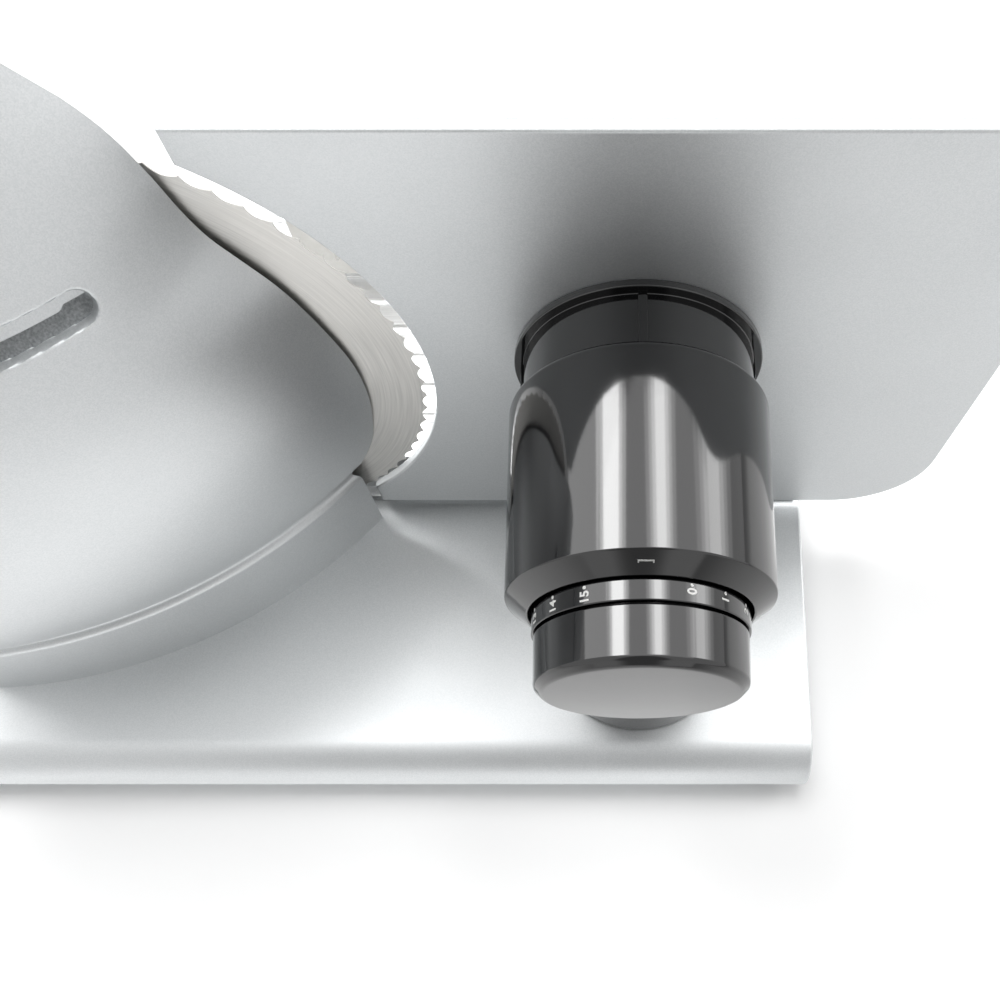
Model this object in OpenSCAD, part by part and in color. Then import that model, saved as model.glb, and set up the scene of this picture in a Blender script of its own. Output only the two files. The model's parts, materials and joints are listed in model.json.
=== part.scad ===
// Electric food slicer: motor housing with a toothed round blade on the left, gauge plate with a
// thickness dial on a round control body on the right, and a food carriage on rails behind them.
// X runs to the right, Y runs from the dial towards the food side, Z is up, the table is at Z = 0.

/* [Base] */
// Width of the base
base_w = 336; // [320:1:360]
// Depth of the base
base_d = 212; // [206:1:230]
// Height of the base shell
base_h = 16; // [16:1:20]
// Wall of the base shell
base_t = 3; // [2:0.5:4]
// Radius of the rounded front and back edges of the base
base_nose = 15; // [10:1:15]
// Height of the rubber feet under the base
foot_h = 8; // [6:1:14]
// Radius of a rubber foot
foot_r = 12; // [9:1:16]
// Distance from the sides of the base to the middle of a foot
foot_inset = 34; // [28:1:44]
// Thickness of the plate that closes the base from below
cover_t = 2.5; // [1.5:0.5:4]
// Radius of a screw head
screw_r = 3.6; // [2.5:0.1:4.5]

/* [Housing] */
// Height of the housing above the base
housing_h = 211.5; // [208:0.5:225]
// Wall of the housing
housing_t = 3; // [2:0.5:4]
// Largest radius of the bulged housing wall, seen from above
housing_r = 213.6; // [212:0.2:216]
// Radius of the bulge, seen from the side
bulge_r = 178; // [174:1:200]
// Height of the widest place of the bulge above the base
bulge_up = 96.5; // [92:0.5:100]
// Radius of the straight foot of the housing, seen from above
skirt_r = 203; // [200:0.5:205]
// Gap between the left end of the base and the housing
housing_inset = 6; // [3:0.5:10]
// Radius of the housing's upright left edges
housing_edge = 16; // [8:1:24]
// Radius of the housing's top edge
housing_top_edge = 14; // [8:1:20]
// Height of the middle of the groove above the base
groove_up = 166; // [150:1:175]
// Width of the groove
groove_w = 7; // [5:0.5:9]
// Thickness of the strip behind the groove
liner_t = 2; // [1:0.5:3]

/* [Blade] */
// Diameter of the blade over its teeth
blade_d = 190; // [184:1:192]
// Thickness of the blade
blade_t = 1.4; // [1:0.1:1.8]
// Number of teeth around the blade
blade_teeth = 80; // [60:1:100]
// Depth of the hollows between the teeth
tooth_deep = 1.6; // [0.8:0.1:2.4]
// Middle of the blade from the left end of the base
blade_from_left = 103.8; // [102:0.2:108]
// Middle of the blade above the base
blade_up = 92.8; // [90:0.2:96]
// Back of the blade from the front of the base
blade_from_front = 111.8; // [110:0.2:116]
// Gap between the blade's teeth and the plates around it
blade_gap = 2.7; // [1.5:0.1:4]
// Gap between the housing and the blade
housing_gap = 4.3; // [4.3:0.1:6]
// Radius of the blade shaft
shaft_r = 8; // [6:0.5:9]

/* [Drive] */
// Teeth of the worm wheel
wheel_teeth = 50; // [46:1:52]
// Pitch radius of the worm wheel
wheel_r = 27.5; // [25:0.5:28]
// Radius of the worm's round section
worm_r = 7; // [6:0.5:8]
// Half the depth of the worm's thread
worm_throw = 0.8; // [0.6:0.1:0.9]
// Radius of the motor's can
motor_r = 27; // [24:0.5:27]
// Length of the motor's can
motor_l = 56; // [52:1:60]

/* [Gauge plate] */
// Thickness of the gauge plate
plate_t = 4; // [3:0.5:5]
// Height of the gauge plate
plate_h = 178; // [165:1:185]
// Gap between the gauge plate and the base
plate_up = 6.5; // [5:0.5:10]
// How far the gauge plate stands out past the right end of the base
plate_over = 42; // [20:1:60]
// Radius of the gauge plate's right corners
plate_corner = 32; // [16:1:40]
// Travel of the gauge plate from the parked place to the thickest slice
plate_travel = 16.1; // [10:0.1:16.1]

/* [Thickness control] */
// Middle of the dial from the right end of the base
dial_from_right = 70; // [60:1:80]
// Middle of the dial above the base
dial_up = 99.5; // [94:0.5:106]
// Radius of the control body
body_r = 38.8; // [38:0.2:42]
// Length of the control body, without its bevel
body_l = 59.4; // [57:0.1:62]
// Wall of the control body
body_t = 3.2; // [2.6:0.1:4]
// Length of the bevel towards the dial
bevel_l = 5.1; // [3:0.1:7]
// Radius of the opening for the dial
opening_r = 32; // [31:0.1:33]
// Radius of the column under the control body
column_r = 35; // [32:0.5:35.5]
// Length of the number ring that can be seen
ring_l = 5.5; // [4:0.1:7]
// Radius of the grip where it starts
grip_r = 30.5; // [29:0.5:31]
// Length of the grip up to its rounded edge
grip_l = 13.7; // [11:0.1:15]
// Radius of the grip at its rounded edge
grip_end_r = 29.5; // [27:0.5:30]
// Length of the domed end of the grip
dome_l = 3.2; // [2:0.1:4]
// Radius of the threaded spindle
spindle_r = 7; // [6:0.5:8]
// Travel of the gauge plate for one turn of the dial
spindle_lead = 17.56; // [16:0.01:20]

/* [Carriage] */
// How far the carriage stands out behind the base
tray_over = 30; // [10:1:40]
// Height of the carriage's tray above the base
tray_up = 31; // [29:1:40]
// Length of the tray
tray_w = 160; // [140:1:170]
// Right end of the tray from the right end of the base
tray_from_right = 62; // [50:1:70]
// Thickness of the tray's sheet
tray_t = 2.5; // [1.5:0.5:3.5]
// Height of the carriage's end wall above the tray
wall_h = 50; // [40:1:56]
// Radius of the guide rod
rod_r = 4; // [3:0.5:5]

/* [Switches] */
// Height of the rocker switch above the base
rocker_up = 138; // [132:1:144]
// Height of the push button above the base
button_up = 170; // [166:1:178]
// Radius of the push button
button_r = 8; // [6:0.5:10]

/* [Fits] */
// Running clearance of a shaft in its bore
run_gap = 0.06; // [0.04:0.01:0.1]
// Clearance between pieces that move past each other
move_gap = 0.4; // [0.3:0.05:0.6]
// Clearance of a sliding sleeve in the control body
slide_gap = 0.8; // [0.6:0.1:1]

/* [Hidden] */
$fn = 96;

base_left = -(base_w + plate_over) / 2;
base_right = base_left + base_w;
base_front = -(base_d + tray_over) / 2;
base_back = base_front + base_d;
base_top = foot_h + base_h;
eps = 0.01;
far = 600;

// Blade
blade_r = blade_d / 2;
blade_x = base_left + blade_from_left;
blade_z = base_top + blade_up;
blade_y = base_front + blade_from_front;
guard_r = blade_r + blade_gap;
guard_rim = 5;
plate_y = blade_y - 0.1;

// Housing
housing_x = base_left + housing_inset;
housing_y = blade_y - housing_gap;
housing_top = base_top + housing_h;
axis_x = base_left + 9.9;
axis_y = base_front + 238.1;
bulge_z = base_top + bulge_up;
bulge_mid = housing_r - bulge_r;
back_t = 3;
groove_z = base_top + groove_up;
groove_from = -80;
groove_to = -51.1;

// Drive
hub_r = 26;
hub_l = housing_gap - 2 * move_gap;
bearing_w = 9;
bearing_r = shaft_r + 4;
wheel_w = 8;
wheel_y = blade_y - 41;
bridge_y = wheel_y - 2.5;
bridge_t = 7;
shaft_end = bridge_y - bridge_t + 1;
leg_w = 8;
bridge_arm = wheel_r + 8;
worm_pitch = 2 * PI * wheel_r / wheel_teeth;
motor_y = wheel_y + wheel_w / 2;
motor_z = blade_z - wheel_r - worm_r - 0.55;
motor_right = blade_x - wheel_r - worm_throw - 2;
motor_left = motor_right - motor_l;
motor_shaft_r = 3;
can_t = 2;
core_r = 14;
motor_bearing_r = 8;
motor_bearing_w = 6;

// Thickness control
dial_x = base_right - dial_from_right;
dial_z = base_top + dial_up;
flange_t = 2.2;
flange_r = body_r - 1.1;
sleeve_r = body_r - body_t - slide_gap;
sleeve_t = 3;
neck_l = plate_travel;
flange_y = plate_y - flange_t;
body_back = flange_y - neck_l - move_gap;
body_front = body_back - body_l;
opening_y = body_front - bevel_l;
shoulder_r = 2.5;
body_bore = body_r - body_t;
ring_r = opening_r - 0.9;
groove_cut = 0.6;
grip_y = opening_y - ring_l - groove_cut;
grip_end = grip_y - grip_l;
dial_end = grip_end - dome_l;
web_t = 4;
web_y = body_front + 3;
ring_back = web_y - move_gap;
sleeve_end = web_y + web_t + plate_travel + 5;
nut_l = 12;
lobe = 1.2;
lobes = 4;
rib_w = 2.6;
rib_h = 1;
column_x = dial_x + 3;
column_y = body_front + body_l / 2 - 10;
collar_r = spindle_r + lobe + 2;

// Gauge plate; its upper tip and lower corner stay clear of the housing
tip_angle = 57;
strip_in = 0.6;
strip_w = 5;
housing_reach = axis_x + sqrt(pow(skirt_r, 2) - pow(axis_y - housing_y, 2)) - blade_x + 3 * move_gap;
plate_x = base_right + plate_over;
plate_z = base_top + plate_up;

// Carriage
tray_right = base_right - tray_from_right;
tray_left = tray_right - tray_w;
tray_z = base_top + tray_up;
tray_back = base_back + tray_over;
tray_front = plate_y + plate_t + 2;
rod_y = base_back - 20;
rod_z = base_top + 16;
bracket_w = 8;
rod_left = base_left + 3;
rod_right = base_right - 3;
bush_r = rod_r + 2;
lug_r = bush_r + 4;
lug_l = 18;
web_w = 6;
leg_y = blade_y + 26;
shoe_h = 6;
wall_t = 3;
wall_top = tray_z + wall_h;
pusher_y = tray_back - 46;
pusher_t = 4;
pusher_left = tray_left + 24;
spike_l = 5;
clip_t = 3;
clip_l = 24;
clip_mid = tray_right - wall_t / 2;
clip_slot = wall_t / 2 + move_gap;
clip_left = clip_mid - clip_slot - clip_t;

// Switches
switch_y = housing_y - 42;
rocker_z = base_top + rocker_up;
button_z = base_top + button_up;
rocker_w = 14;
rocker_h = 22;
button_travel = 2.5;
button_lip = 1.6;
rocker_tilt = 7;

steel = "#c9ccce";
silver = "#b9bdbf";
black = "#2c2d30";
white = "#e9e8e4";
grey = "#8b8f92";

// A round bar along Y from y0 to y1
module bar_y(x, z, y0, y1, r) {
  translate([x, y0, z]) rotate([-90, 0, 0]) cylinder(h = y1 - y0, r = r);
}

// A round bar along X from x0 to x1
module bar_x(y, z, x0, x1, r) {
  translate([x0, y, z]) rotate([0, 90, 0]) cylinder(h = x1 - x0, r = r);
}

// A turned piece about an axis along Y, from points of radius and Y
module turned_y(x, z, points) {
  translate([x, 0, z]) rotate([-90, 0, 0]) rotate_extrude() polygon(points);
}

// A block from its low and high corner
module block(low, high) {
  translate(low) cube(high - low);
}

// A flat piece in the XZ plane, from y0 to y1
module sheet_y(y0, y1) {
  translate([0, y1, 0]) rotate([90, 0, 0]) linear_extrude(y1 - y0) children();
}

// The outline of the base, seen from the right, drawn inwards by inset
module base_outline(inset) {
  r = base_nose - inset;
  low = inset > 0 ? -1 : foot_h;
  intersection() {
    union() {
      translate([base_front + base_nose, low]) square([base_d - 2 * base_nose, base_top - inset - low]);
      for (y = [base_front + base_nose, base_back - base_nose]) {
        translate([y, base_top - base_nose]) circle(r);
        translate([y - r, low]) square([2 * r, base_top - base_nose - low]);
      }
    }
    translate([base_front, low]) square([base_d, far]);
  }
}

module base_length(inset) {
  translate([base_left + inset, 0, 0]) rotate([90, 0, 90]) linear_extrude(base_w - 2 * inset)
    base_outline(inset);
}

// The four corners that carry the feet
module at_feet() {
  for (x = [base_left + foot_inset, base_right - foot_inset], y = [base_front + foot_inset, base_back - foot_inset])
    translate([x, y, 0]) children();
}

module base_shell() {
  slot_l = blade_r * 0.4;
  slot_w = 2.6;
  color(silver) difference() {
    base_length(0);
    base_length(base_t);
    block([blade_x - slot_l, blade_y - slot_w, base_top - base_t - 1],
      [blade_x + slot_l, blade_y + blade_t + slot_w, base_top + 1]);
  }
}

module base_cover() {
  edge = base_nose + move_gap;
  color(grey) difference() {
    block([base_left + base_t + move_gap, base_front + edge, foot_h],
      [base_right - base_t - move_gap, base_back - edge, foot_h + cover_t]);
    at_feet() cylinder(h = far, r = screw_r / 2, center = true);
  }
}

module base_feet() {
  color(black) at_feet() difference() {
    cylinder(h = foot_h, r1 = foot_r, r2 = foot_r * 0.85);
    translate([0, 0, -1]) cylinder(h = foot_h / 3 + 1, r = screw_r + move_gap);
    cylinder(h = far, r = screw_r / 2, center = true);
  }
}

// Screws that go up through the feet into the cover
module cover_screws() {
  color(steel) at_feet() {
    translate([0, 0, foot_h / 3 - 2]) cylinder(h = 2, r = screw_r);
    translate([0, 0, foot_h / 3]) cylinder(h = foot_h * 2 / 3 + cover_t + 1.5, r = screw_r / 2 - run_gap);
  }
}

// Raised strip on the base under the gauge plate
module guide_strip() {
  y = plate_y + plate_t - strip_in;
  color(silver) block([dial_x - body_r * 3.1, y, base_top],
    [base_right - 2, y + strip_w, base_top + plate_up / 2]);
}

module inlet_gland() {
  z = base_top + 16;
  y = housing_y - 26;
  color(black) difference() {
    union() {
      bar_x(y, z, base_left + 1, housing_x, 8);
      bar_x(y, z, housing_x, housing_x + housing_t + 6, 6);
    }
    bar_x(y, z, base_left - 1, housing_x + far, 3.6);
  }
}

// The outside of the housing as a turned form about an upright axis, drawn inwards by inset
module housing_turn(inset) {
  r = bulge_r - inset;
  top = housing_top - inset;
  edge = housing_top_edge - inset;
  reach = bulge_r - housing_top_edge;
  edge_up = housing_top - housing_top_edge - bulge_z;
  edge_x = bulge_mid + sqrt(reach * reach - edge_up * edge_up);
  corner_z = bulge_z + edge_up * r / reach;
  translate([axis_x, axis_y, 0]) rotate_extrude($fn = 180) union() {
    intersection() {
      translate([bulge_mid, bulge_z]) circle(r, $fn = 180);
      translate([bulge_mid, base_top - 2]) square([far, corner_z - base_top + 2]);
    }
    translate([0, base_top - 2]) square([bulge_mid + eps, top - base_top + 2]);
    translate([0, base_top - 2]) square([edge_x, top - base_top + 2]);
    translate([edge_x, bulge_z + edge_up]) circle(edge);
    translate([0, base_top - 2]) square([skirt_r - inset, bulge_z - base_top + 2 - bulge_drop(inset)]);
  }
}

// How far below its widest place the bulge meets the straight foot
function bulge_drop(inset) = sqrt(pow(bulge_r - inset, 2) - pow(skirt_r - inset - bulge_mid, 2)) - 1;

// The space that the housing takes, seen from above; drawn inwards, it stays open towards the blade
module housing_plan(inset) {
  r = housing_edge - inset;
  x = housing_x + inset;
  low = axis_y - housing_r - 1;
  back = inset > 0 ? housing_y + 1 : housing_y;
  difference() {
    translate([x, low]) square([far, back - low]);
    translate([x - 1, low]) square([r + 1, left_front() + housing_edge - low]);
  }
  translate([x + r, left_front() + housing_edge]) circle(r);
  translate([x + r, left_front()]) square([far, housing_edge]);
}

// Where the bulge starts to turn into the left end, seen from above
function left_front() = axis_y - housing_r + 0.2;

module housing_form(inset) {
  low = inset > 0 ? base_top - 1 : base_top;
  intersection() {
    housing_turn(inset);
    translate([0, 0, low]) linear_extrude(housing_top - inset - low) housing_plan(inset);
  }
}

// A ring about the housing's axis along the groove, square to the bulge, longer by extra degrees at both ends
module groove_ring(width, low, high, extra) {
  tilt = asin((groove_z - bulge_z) / bulge_r);
  translate([axis_x, axis_y, 0]) rotate([0, 0, groove_from - extra])
    rotate_extrude(angle = groove_to - groove_from + 2 * extra, $fn = 180)
      translate([groove_r(), groove_z]) rotate(tilt) translate([-low, -width / 2]) square([low + high, width]);
}

// The slot through the wall, with round ends
module groove_slot() {
  tilt = asin((groove_z - bulge_z) / bulge_r);
  low = housing_t + 2;
  high = 4;
  groove_ring(groove_w, low, high, 0);
  for (a = [groove_from, groove_to])
    translate([axis_x, axis_y, groove_z]) rotate([0, 0, a]) translate([groove_r(), 0, 0])
      rotate([0, 90 - tilt, 0]) translate([0, 0, -low]) cylinder(h = low + high, r = groove_w / 2);
}

// Distance of the bulge's surface at the groove from the housing's axis
function groove_r() = bulge_mid + sqrt(pow(bulge_r, 2) - pow(groove_z - bulge_z, 2));

module switch_holes(gap) {
  block([housing_x - far, switch_y - rocker_w / 2 - gap, rocker_z - rocker_h / 2 - gap],
    [housing_x + housing_t + 1, switch_y + rocker_w / 2 + gap, rocker_z + rocker_h / 2 + gap]);
  bar_x(switch_y, button_z, housing_x - far, housing_x + housing_t + 1, button_r + gap);
}

module housing_shell() {
  color(silver) difference() {
    housing_form(0);
    housing_form(housing_t);
    groove_slot();
    switch_holes(move_gap);
    bar_x(housing_y - 26, base_top + 16, base_left - 1, housing_x + housing_t + 1, 6 + run_gap);
  }
}

// Strip behind the slot in the housing, which makes the slot a groove
module groove_liner() {
  color(grey) groove_ring(groove_w + 6, housing_t + move_gap + liner_t, -housing_t - move_gap, 2.5);
}

// Back wall of the housing behind the blade, with the boss for the front bearing
module housing_back() {
  boss_l = bearing_w + 4;
  color(silver) difference() {
    union() {
      intersection() {
        housing_form(housing_t + move_gap / 2);
        block([-far, housing_y - back_t, base_top], [far, housing_y, far]);
      }
      bar_y(blade_x, blade_z, housing_y - back_t - boss_l, housing_y, bearing_r + 4);
    }
    bar_y(blade_x, blade_z, -far, far, shaft_r + 1.5);
    bar_y(blade_x, blade_z, -far, housing_y - back_t - boss_l + bearing_w, bearing_r);
  }
}

// Fixed panel around the left half of the blade, on the food side
module blade_guard() {
  edge = blade_x - 14;
  corner = 30;
  top = blade_z + blade_r;
  left = min(housing_x, blade_x - guard_r - guard_rim);
  color(silver) {
    sheet_y(plate_y, plate_y + plate_t) difference() {
      union() {
        translate([left, base_top]) square([edge - left, top - corner - base_top]);
        translate([left + corner, base_top]) square([edge - left - corner, top - base_top]);
        translate([left + corner, top - corner]) circle(corner);
      }
      translate([blade_x, blade_z]) circle(guard_r);
    }
    sheet_y(housing_y, plate_y) intersection() {
      difference() {
        translate([blade_x, blade_z]) circle(guard_r + 3);
        translate([blade_x, blade_z]) circle(guard_r);
      }
      translate([left, base_top]) square([edge - left - 20, top - base_top - 12]);
    }
  }
}

// Outline of the toothed blade: hollows with points between them
function blade_radius(a) = blade_r - tooth_deep * (1 - pow(abs(cos(a * blade_teeth / 2)), 1.6));

module blade() {
  steps = blade_teeth * 8;
  color(steel) difference() {
    sheet_y(blade_y, blade_y + blade_t) translate([blade_x, blade_z])
      polygon([for (i = [0 : steps - 1]) let (a = i * 360 / steps) blade_radius(a) * [cos(a), sin(a)]]);
    bar_y(blade_x, blade_z, -far, far, shaft_r / 2 + run_gap);
  }
}

module blade_hub() {
  color(grey) difference() {
    bar_y(blade_x, blade_z, blade_y - hub_l, blade_y, hub_r);
    bar_y(blade_x, blade_z, -far, far, shaft_r);
  }
}

module blade_shaft() {
  color(steel) difference() {
    bar_y(blade_x, blade_z, shaft_end, blade_y, shaft_r);
    bar_y(blade_x, blade_z, blade_y - 16, far, shaft_r / 2);
  }
}

// Screw that holds the blade to its shaft, with a slotted grip on the food side
module lock_screw() {
  head_l = 5;
  y = blade_y + blade_t + 0.05;
  color(steel) difference() {
    union() {
      turned_y(blade_x, blade_z, [[0, y], [13, y], [13, y + 2], [11, y + head_l], [0, y + head_l]]);
      bar_y(blade_x, blade_z, blade_y - 14, y, shaft_r / 2 - run_gap);
    }
    block([blade_x - 9, y + head_l - 2, blade_z - 1.2], [blade_x + 9, y + head_l + 1, blade_z + 1.2]);
  }
}

// Wheel with wave-shaped teeth that keep an even gap to the worm
module worm_wheel() {
  steps = wheel_teeth * 8;
  color("#d8d3c4") difference() {
    sheet_y(wheel_y, wheel_y + wheel_w) translate([blade_x, blade_z])
      polygon([for (i = [0 : steps - 1]) let (a = i * 360 / steps)
        (wheel_r + worm_throw * cos(wheel_teeth * (a + 90))) * [cos(a), sin(a)]]);
    bar_y(blade_x, blade_z, -far, far, shaft_r);
  }
}

module ring_bearing(y) {
  difference() {
    bar_y(blade_x, blade_z, y, y + bearing_w, bearing_r);
    bar_y(blade_x, blade_z, -far, far, shaft_r + run_gap);
  }
}

module front_bearing() {
  color(steel) ring_bearing(housing_y - back_t - bearing_w - 4);
}

module rear_bearing() {
  color(steel) difference() {
    bar_y(blade_x, blade_z, bridge_y - bridge_t + 2, bridge_y, bearing_r);
    bar_y(blade_x, blade_z, -far, far, shaft_r + run_gap);
  }
}

// Bracket over the worm wheel that carries the rear bearing
module bearing_bridge() {
  foot_y = housing_y - back_t;
  top = blade_z + bridge_arm;
  left = blade_x - bridge_arm;
  color(grey) difference() {
    union() {
      bar_y(blade_x, blade_z, bridge_y - bridge_t, bridge_y, bearing_r + 3);
      block([blade_x - leg_w, bridge_y - bridge_t, blade_z], [blade_x + leg_w, bridge_y, top + leg_w]);
      block([left - leg_w, bridge_y - bridge_t, blade_z - 4], [blade_x, bridge_y, blade_z + 12]);
      block([blade_x - leg_w, bridge_y - eps, top], [blade_x + leg_w, foot_y, top + leg_w]);
      block([left - leg_w, bridge_y - eps, blade_z - 4], [left, foot_y, blade_z + 12]);
    }
    bar_y(blade_x, blade_z, bridge_y - bridge_t + 2, far, bearing_r);
    bar_y(blade_x, blade_z, -far, far, shaft_r + 1.5);
    at_bridge_feet() cylinder(h = 40, r = screw_r / 2, center = true);
  }
}

module at_bridge_feet() {
  for (p = [[blade_x, blade_z + bridge_arm + leg_w / 2], [blade_x - bridge_arm - leg_w / 2, blade_z + 4]])
    translate([p[0], housing_y - back_t, p[1]]) rotate([90, 0, 0]) children();
}

// Threaded pins that hold the bridge's legs
module bridge_screws() {
  color(steel) at_bridge_feet() cylinder(h = 19, r = screw_r / 2 - run_gap);
}

module motor_can() {
  color(steel) difference() {
    bar_x(motor_y, motor_z, motor_left, motor_right, motor_r);
    bar_x(motor_y, motor_z, motor_left - 1, motor_right - can_t, motor_r - can_t);
    bar_x(motor_y, motor_z, -far, far, motor_bearing_r);
  }
}

// Cap that closes the motor's left end and seats its bearing
module motor_end_cap() {
  color(black) difference() {
    union() {
      bar_x(motor_y, motor_z, motor_left - 2, motor_left, motor_r);
      bar_x(motor_y, motor_z, motor_left, motor_left + 6, motor_r - can_t - run_gap);
    }
    bar_x(motor_y, motor_z, motor_left + 2, motor_left + 7, motor_r - can_t - 3);
    bar_x(motor_y, motor_z, -far, far, motor_bearing_r);
  }
}

module motor_stator() {
  color("#7a4a2c") difference() {
    bar_x(motor_y, motor_z, motor_left + 20, motor_right - 12, motor_r - can_t - run_gap);
    bar_x(motor_y, motor_z, -far, far, core_r + 1);
  }
}

module motor_bearings() {
  color(steel) for (x = [motor_left - 2, motor_right - motor_bearing_w]) difference() {
    bar_x(motor_y, motor_z, x, x + motor_bearing_w, motor_bearing_r - run_gap);
    bar_x(motor_y, motor_z, -far, far, motor_shaft_r + run_gap);
  }
}

// Saddle between the motor and the back wall of the housing
module motor_cradle() {
  wide = motor_r * 0.7;
  color(grey) difference() {
    block([motor_left + 8, motor_y + motor_r / 2, motor_z - wide],
      [motor_right - 12, housing_y - back_t, motor_z + wide]);
    bar_x(motor_y, motor_z, -far, far, motor_r);
  }
}

module motor_shaft() {
  color(steel) bar_x(motor_y, motor_z, motor_left - 2, blade_x + 4 * worm_pitch, motor_shaft_r);
}

module motor_rotor() {
  color("#8a8d90") difference() {
    bar_x(motor_y, motor_z, motor_left + 20, motor_right - 12, core_r);
    bar_x(motor_y, motor_z, -far, far, motor_shaft_r);
  }
}

module motor_fan() {
  blades = 9;
  color(black) difference() {
    union() {
      bar_x(motor_y, motor_z, motor_left + 9, motor_left + 17, 6);
      bar_x(motor_y, motor_z, motor_left + 15.5, motor_left + 17, motor_r - can_t - 4);
      for (i = [0 : blades - 1])
        translate([motor_left + 9, motor_y, motor_z]) rotate([i * 360 / blades, 0, 0])
          translate([0, -0.7, 4]) cube([7, 1.4, motor_r - can_t - 8]);
    }
    bar_x(motor_y, motor_z, -far, far, motor_shaft_r);
  }
}

// Right-handed worm: a round section that runs off centre and turns once for each tooth
module worm() {
  turns_left = 3;
  turns_right = 2.5;
  turns = turns_left + turns_right;
  color(steel) difference() {
    translate([blade_x - turns_left * worm_pitch, motor_y, motor_z]) rotate([0, 90, 0])
      linear_extrude(turns * worm_pitch, twist = -360 * turns, slices = turns * 12, $fn = 16)
        translate([worm_throw, 0]) circle(worm_r);
    bar_x(motor_y, motor_z, -far, far, motor_shaft_r);
  }
}

module gauge_plate() {
  color(silver) difference() {
    sheet_y(plate_y, plate_y + plate_t) difference() {
      union() {
        translate([blade_x, plate_z]) square([plate_x - blade_x - plate_corner, plate_h]);
        translate([blade_x, plate_z + plate_corner])
          square([plate_x - blade_x, plate_h - 2 * plate_corner]);
        for (z = [plate_z + plate_corner, plate_z + plate_h - plate_corner])
          translate([plate_x - plate_corner, z]) circle(plate_corner);
      }
      translate([blade_x, blade_z]) circle(guard_r);
      translate([blade_x - far, -far]) square([far + guard_r * cos(tip_angle), 2 * far]);
      translate([blade_x - far, -far]) square([far + housing_reach, far + blade_z]);
    }
    at_plate_screws() cylinder(h = far, r = screw_r / 2, center = true);
    at_plate_screws() translate([0, 0, -plate_t - 1]) cylinder(h = 3, r = screw_r + move_gap);
  }
}

// Three screw places on the flange, seen along the dial's axis
module at_plate_screws() {
  for (a = [30, 150, 270])
    translate([dial_x + (sleeve_r - 8) * cos(a), plate_y, dial_z + (sleeve_r - 8) * sin(a)])
      rotate([90, 0, 0]) children();
}

module plate_screws() {
  color(steel) at_plate_screws() {
    translate([0, 0, -plate_t]) cylinder(h = 2, r = screw_r);
    translate([0, 0, -plate_t]) cylinder(h = plate_t + flange_t + 3, r = screw_r / 2 - run_gap);
  }
}

// Angles of the ribs that keep the sleeve from turning
rib_angles = [0, 90, 180];

module at_ribs() {
  for (a = rib_angles) translate([dial_x, 0, dial_z]) rotate([0, -a, 0]) children();
}

// Sleeve on the back of the gauge plate that slides in the control body
module plate_sleeve() {
  color(black) difference() {
    union() {
      bar_y(dial_x, dial_z, flange_y, plate_y, flange_r);
      bar_y(dial_x, dial_z, sleeve_end, flange_y, sleeve_r);
      at_ribs() block([sleeve_r - 1, sleeve_end, -rib_w / 2], [sleeve_r + rib_h, flange_y, rib_w / 2]);
    }
    bar_y(dial_x, dial_z, sleeve_end + 4, flange_y - 4, sleeve_r - sleeve_t);
    bar_y(dial_x, dial_z, -far, flange_y - 3, spindle_r + lobe + 4);
    at_plate_screws() cylinder(h = 30, r = screw_r / 2, center = true);
  }
}

// Cross-section of the coarse four-start thread
module thread_section(gap) {
  steps = 24;
  polygon([for (i = [0 : steps - 1]) let (a = i * 360 / steps)
    (spindle_r + gap + lobe * cos(lobes * a)) * [cos(a), sin(a)]]);
}

// Left-handed thread along Y; its phase depends on Y alone, so that nut and spindle agree
module thread_y(y0, y1, gap) {
  turn = 360 / spindle_lead;
  translate([dial_x, y0, dial_z]) rotate([-90, 0, 0]) rotate([0, 0, -turn * y0])
    linear_extrude(y1 - y0, twist = turn * (y1 - y0), slices = round((y1 - y0) / 1.2), $fn = 24)
      thread_section(gap);
}

module sleeve_nut() {
  color("#d8d3c4") difference() {
    bar_y(dial_x, dial_z, sleeve_end, sleeve_end + nut_l, spindle_r + lobe + 4);
    thread_y(sleeve_end - 1, sleeve_end + nut_l + 1, move_gap + 0.1);
  }
}

module dial_spindle() {
  thread_from = web_y + web_t + 4;
  color(steel) {
    bar_y(dial_x, dial_z, grip_end + 4, web_y + web_t + move_gap, spindle_r - 1);
    bar_y(dial_x, dial_z, web_y + web_t + move_gap, thread_from + eps, collar_r);
    thread_y(thread_from, sleeve_end + nut_l + 4, 0);
  }
}

// Clip in front of the web that holds the spindle in place
module spindle_clip() {
  color(steel) difference() {
    bar_y(dial_x, dial_z, web_y - 1.6, web_y - 0.4, spindle_r + 2);
    bar_y(dial_x, dial_z, -far, far, spindle_r - 1);
    block([dial_x - 2.5, -far, dial_z - far], [dial_x + 2.5, far, dial_z]);
  }
}

module control_body() {
  mid = body_back - shoulder_r;
  color(black) difference() {
    union() {
      turned_y(dial_x, dial_z, [[0, opening_y], [opening_r + 0.5, opening_y], [body_r, body_front],
        [body_r, mid], [0, mid]]);
      bar_y(dial_x, dial_z, mid - eps, body_back, body_r - shoulder_r);
      translate([dial_x, mid, dial_z]) rotate([-90, 0, 0]) rotate_extrude()
        translate([body_r - shoulder_r, 0]) circle(shoulder_r);
    }
    bar_y(dial_x, dial_z, web_y, far, body_bore);
    bar_y(dial_x, dial_z, -far, web_y + eps, opening_r);
    at_ribs() block([body_bore - 2, web_y, -rib_w / 2 - move_gap],
      [sleeve_r + rib_h + move_gap, far, rib_w / 2 + move_gap]);
  }
}

// Wall inside the control body that carries the spindle
module control_web() {
  color(grey) difference() {
    bar_y(dial_x, dial_z, web_y, web_y + web_t, body_bore);
    bar_y(dial_x, dial_z, -far, far, spindle_r - 1 + run_gap);
    translate([dial_x, web_y, dial_z - 20]) rotate([-90, 0, 0]) cylinder(h = far, r = 2.5, center = true);
  }
}

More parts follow.
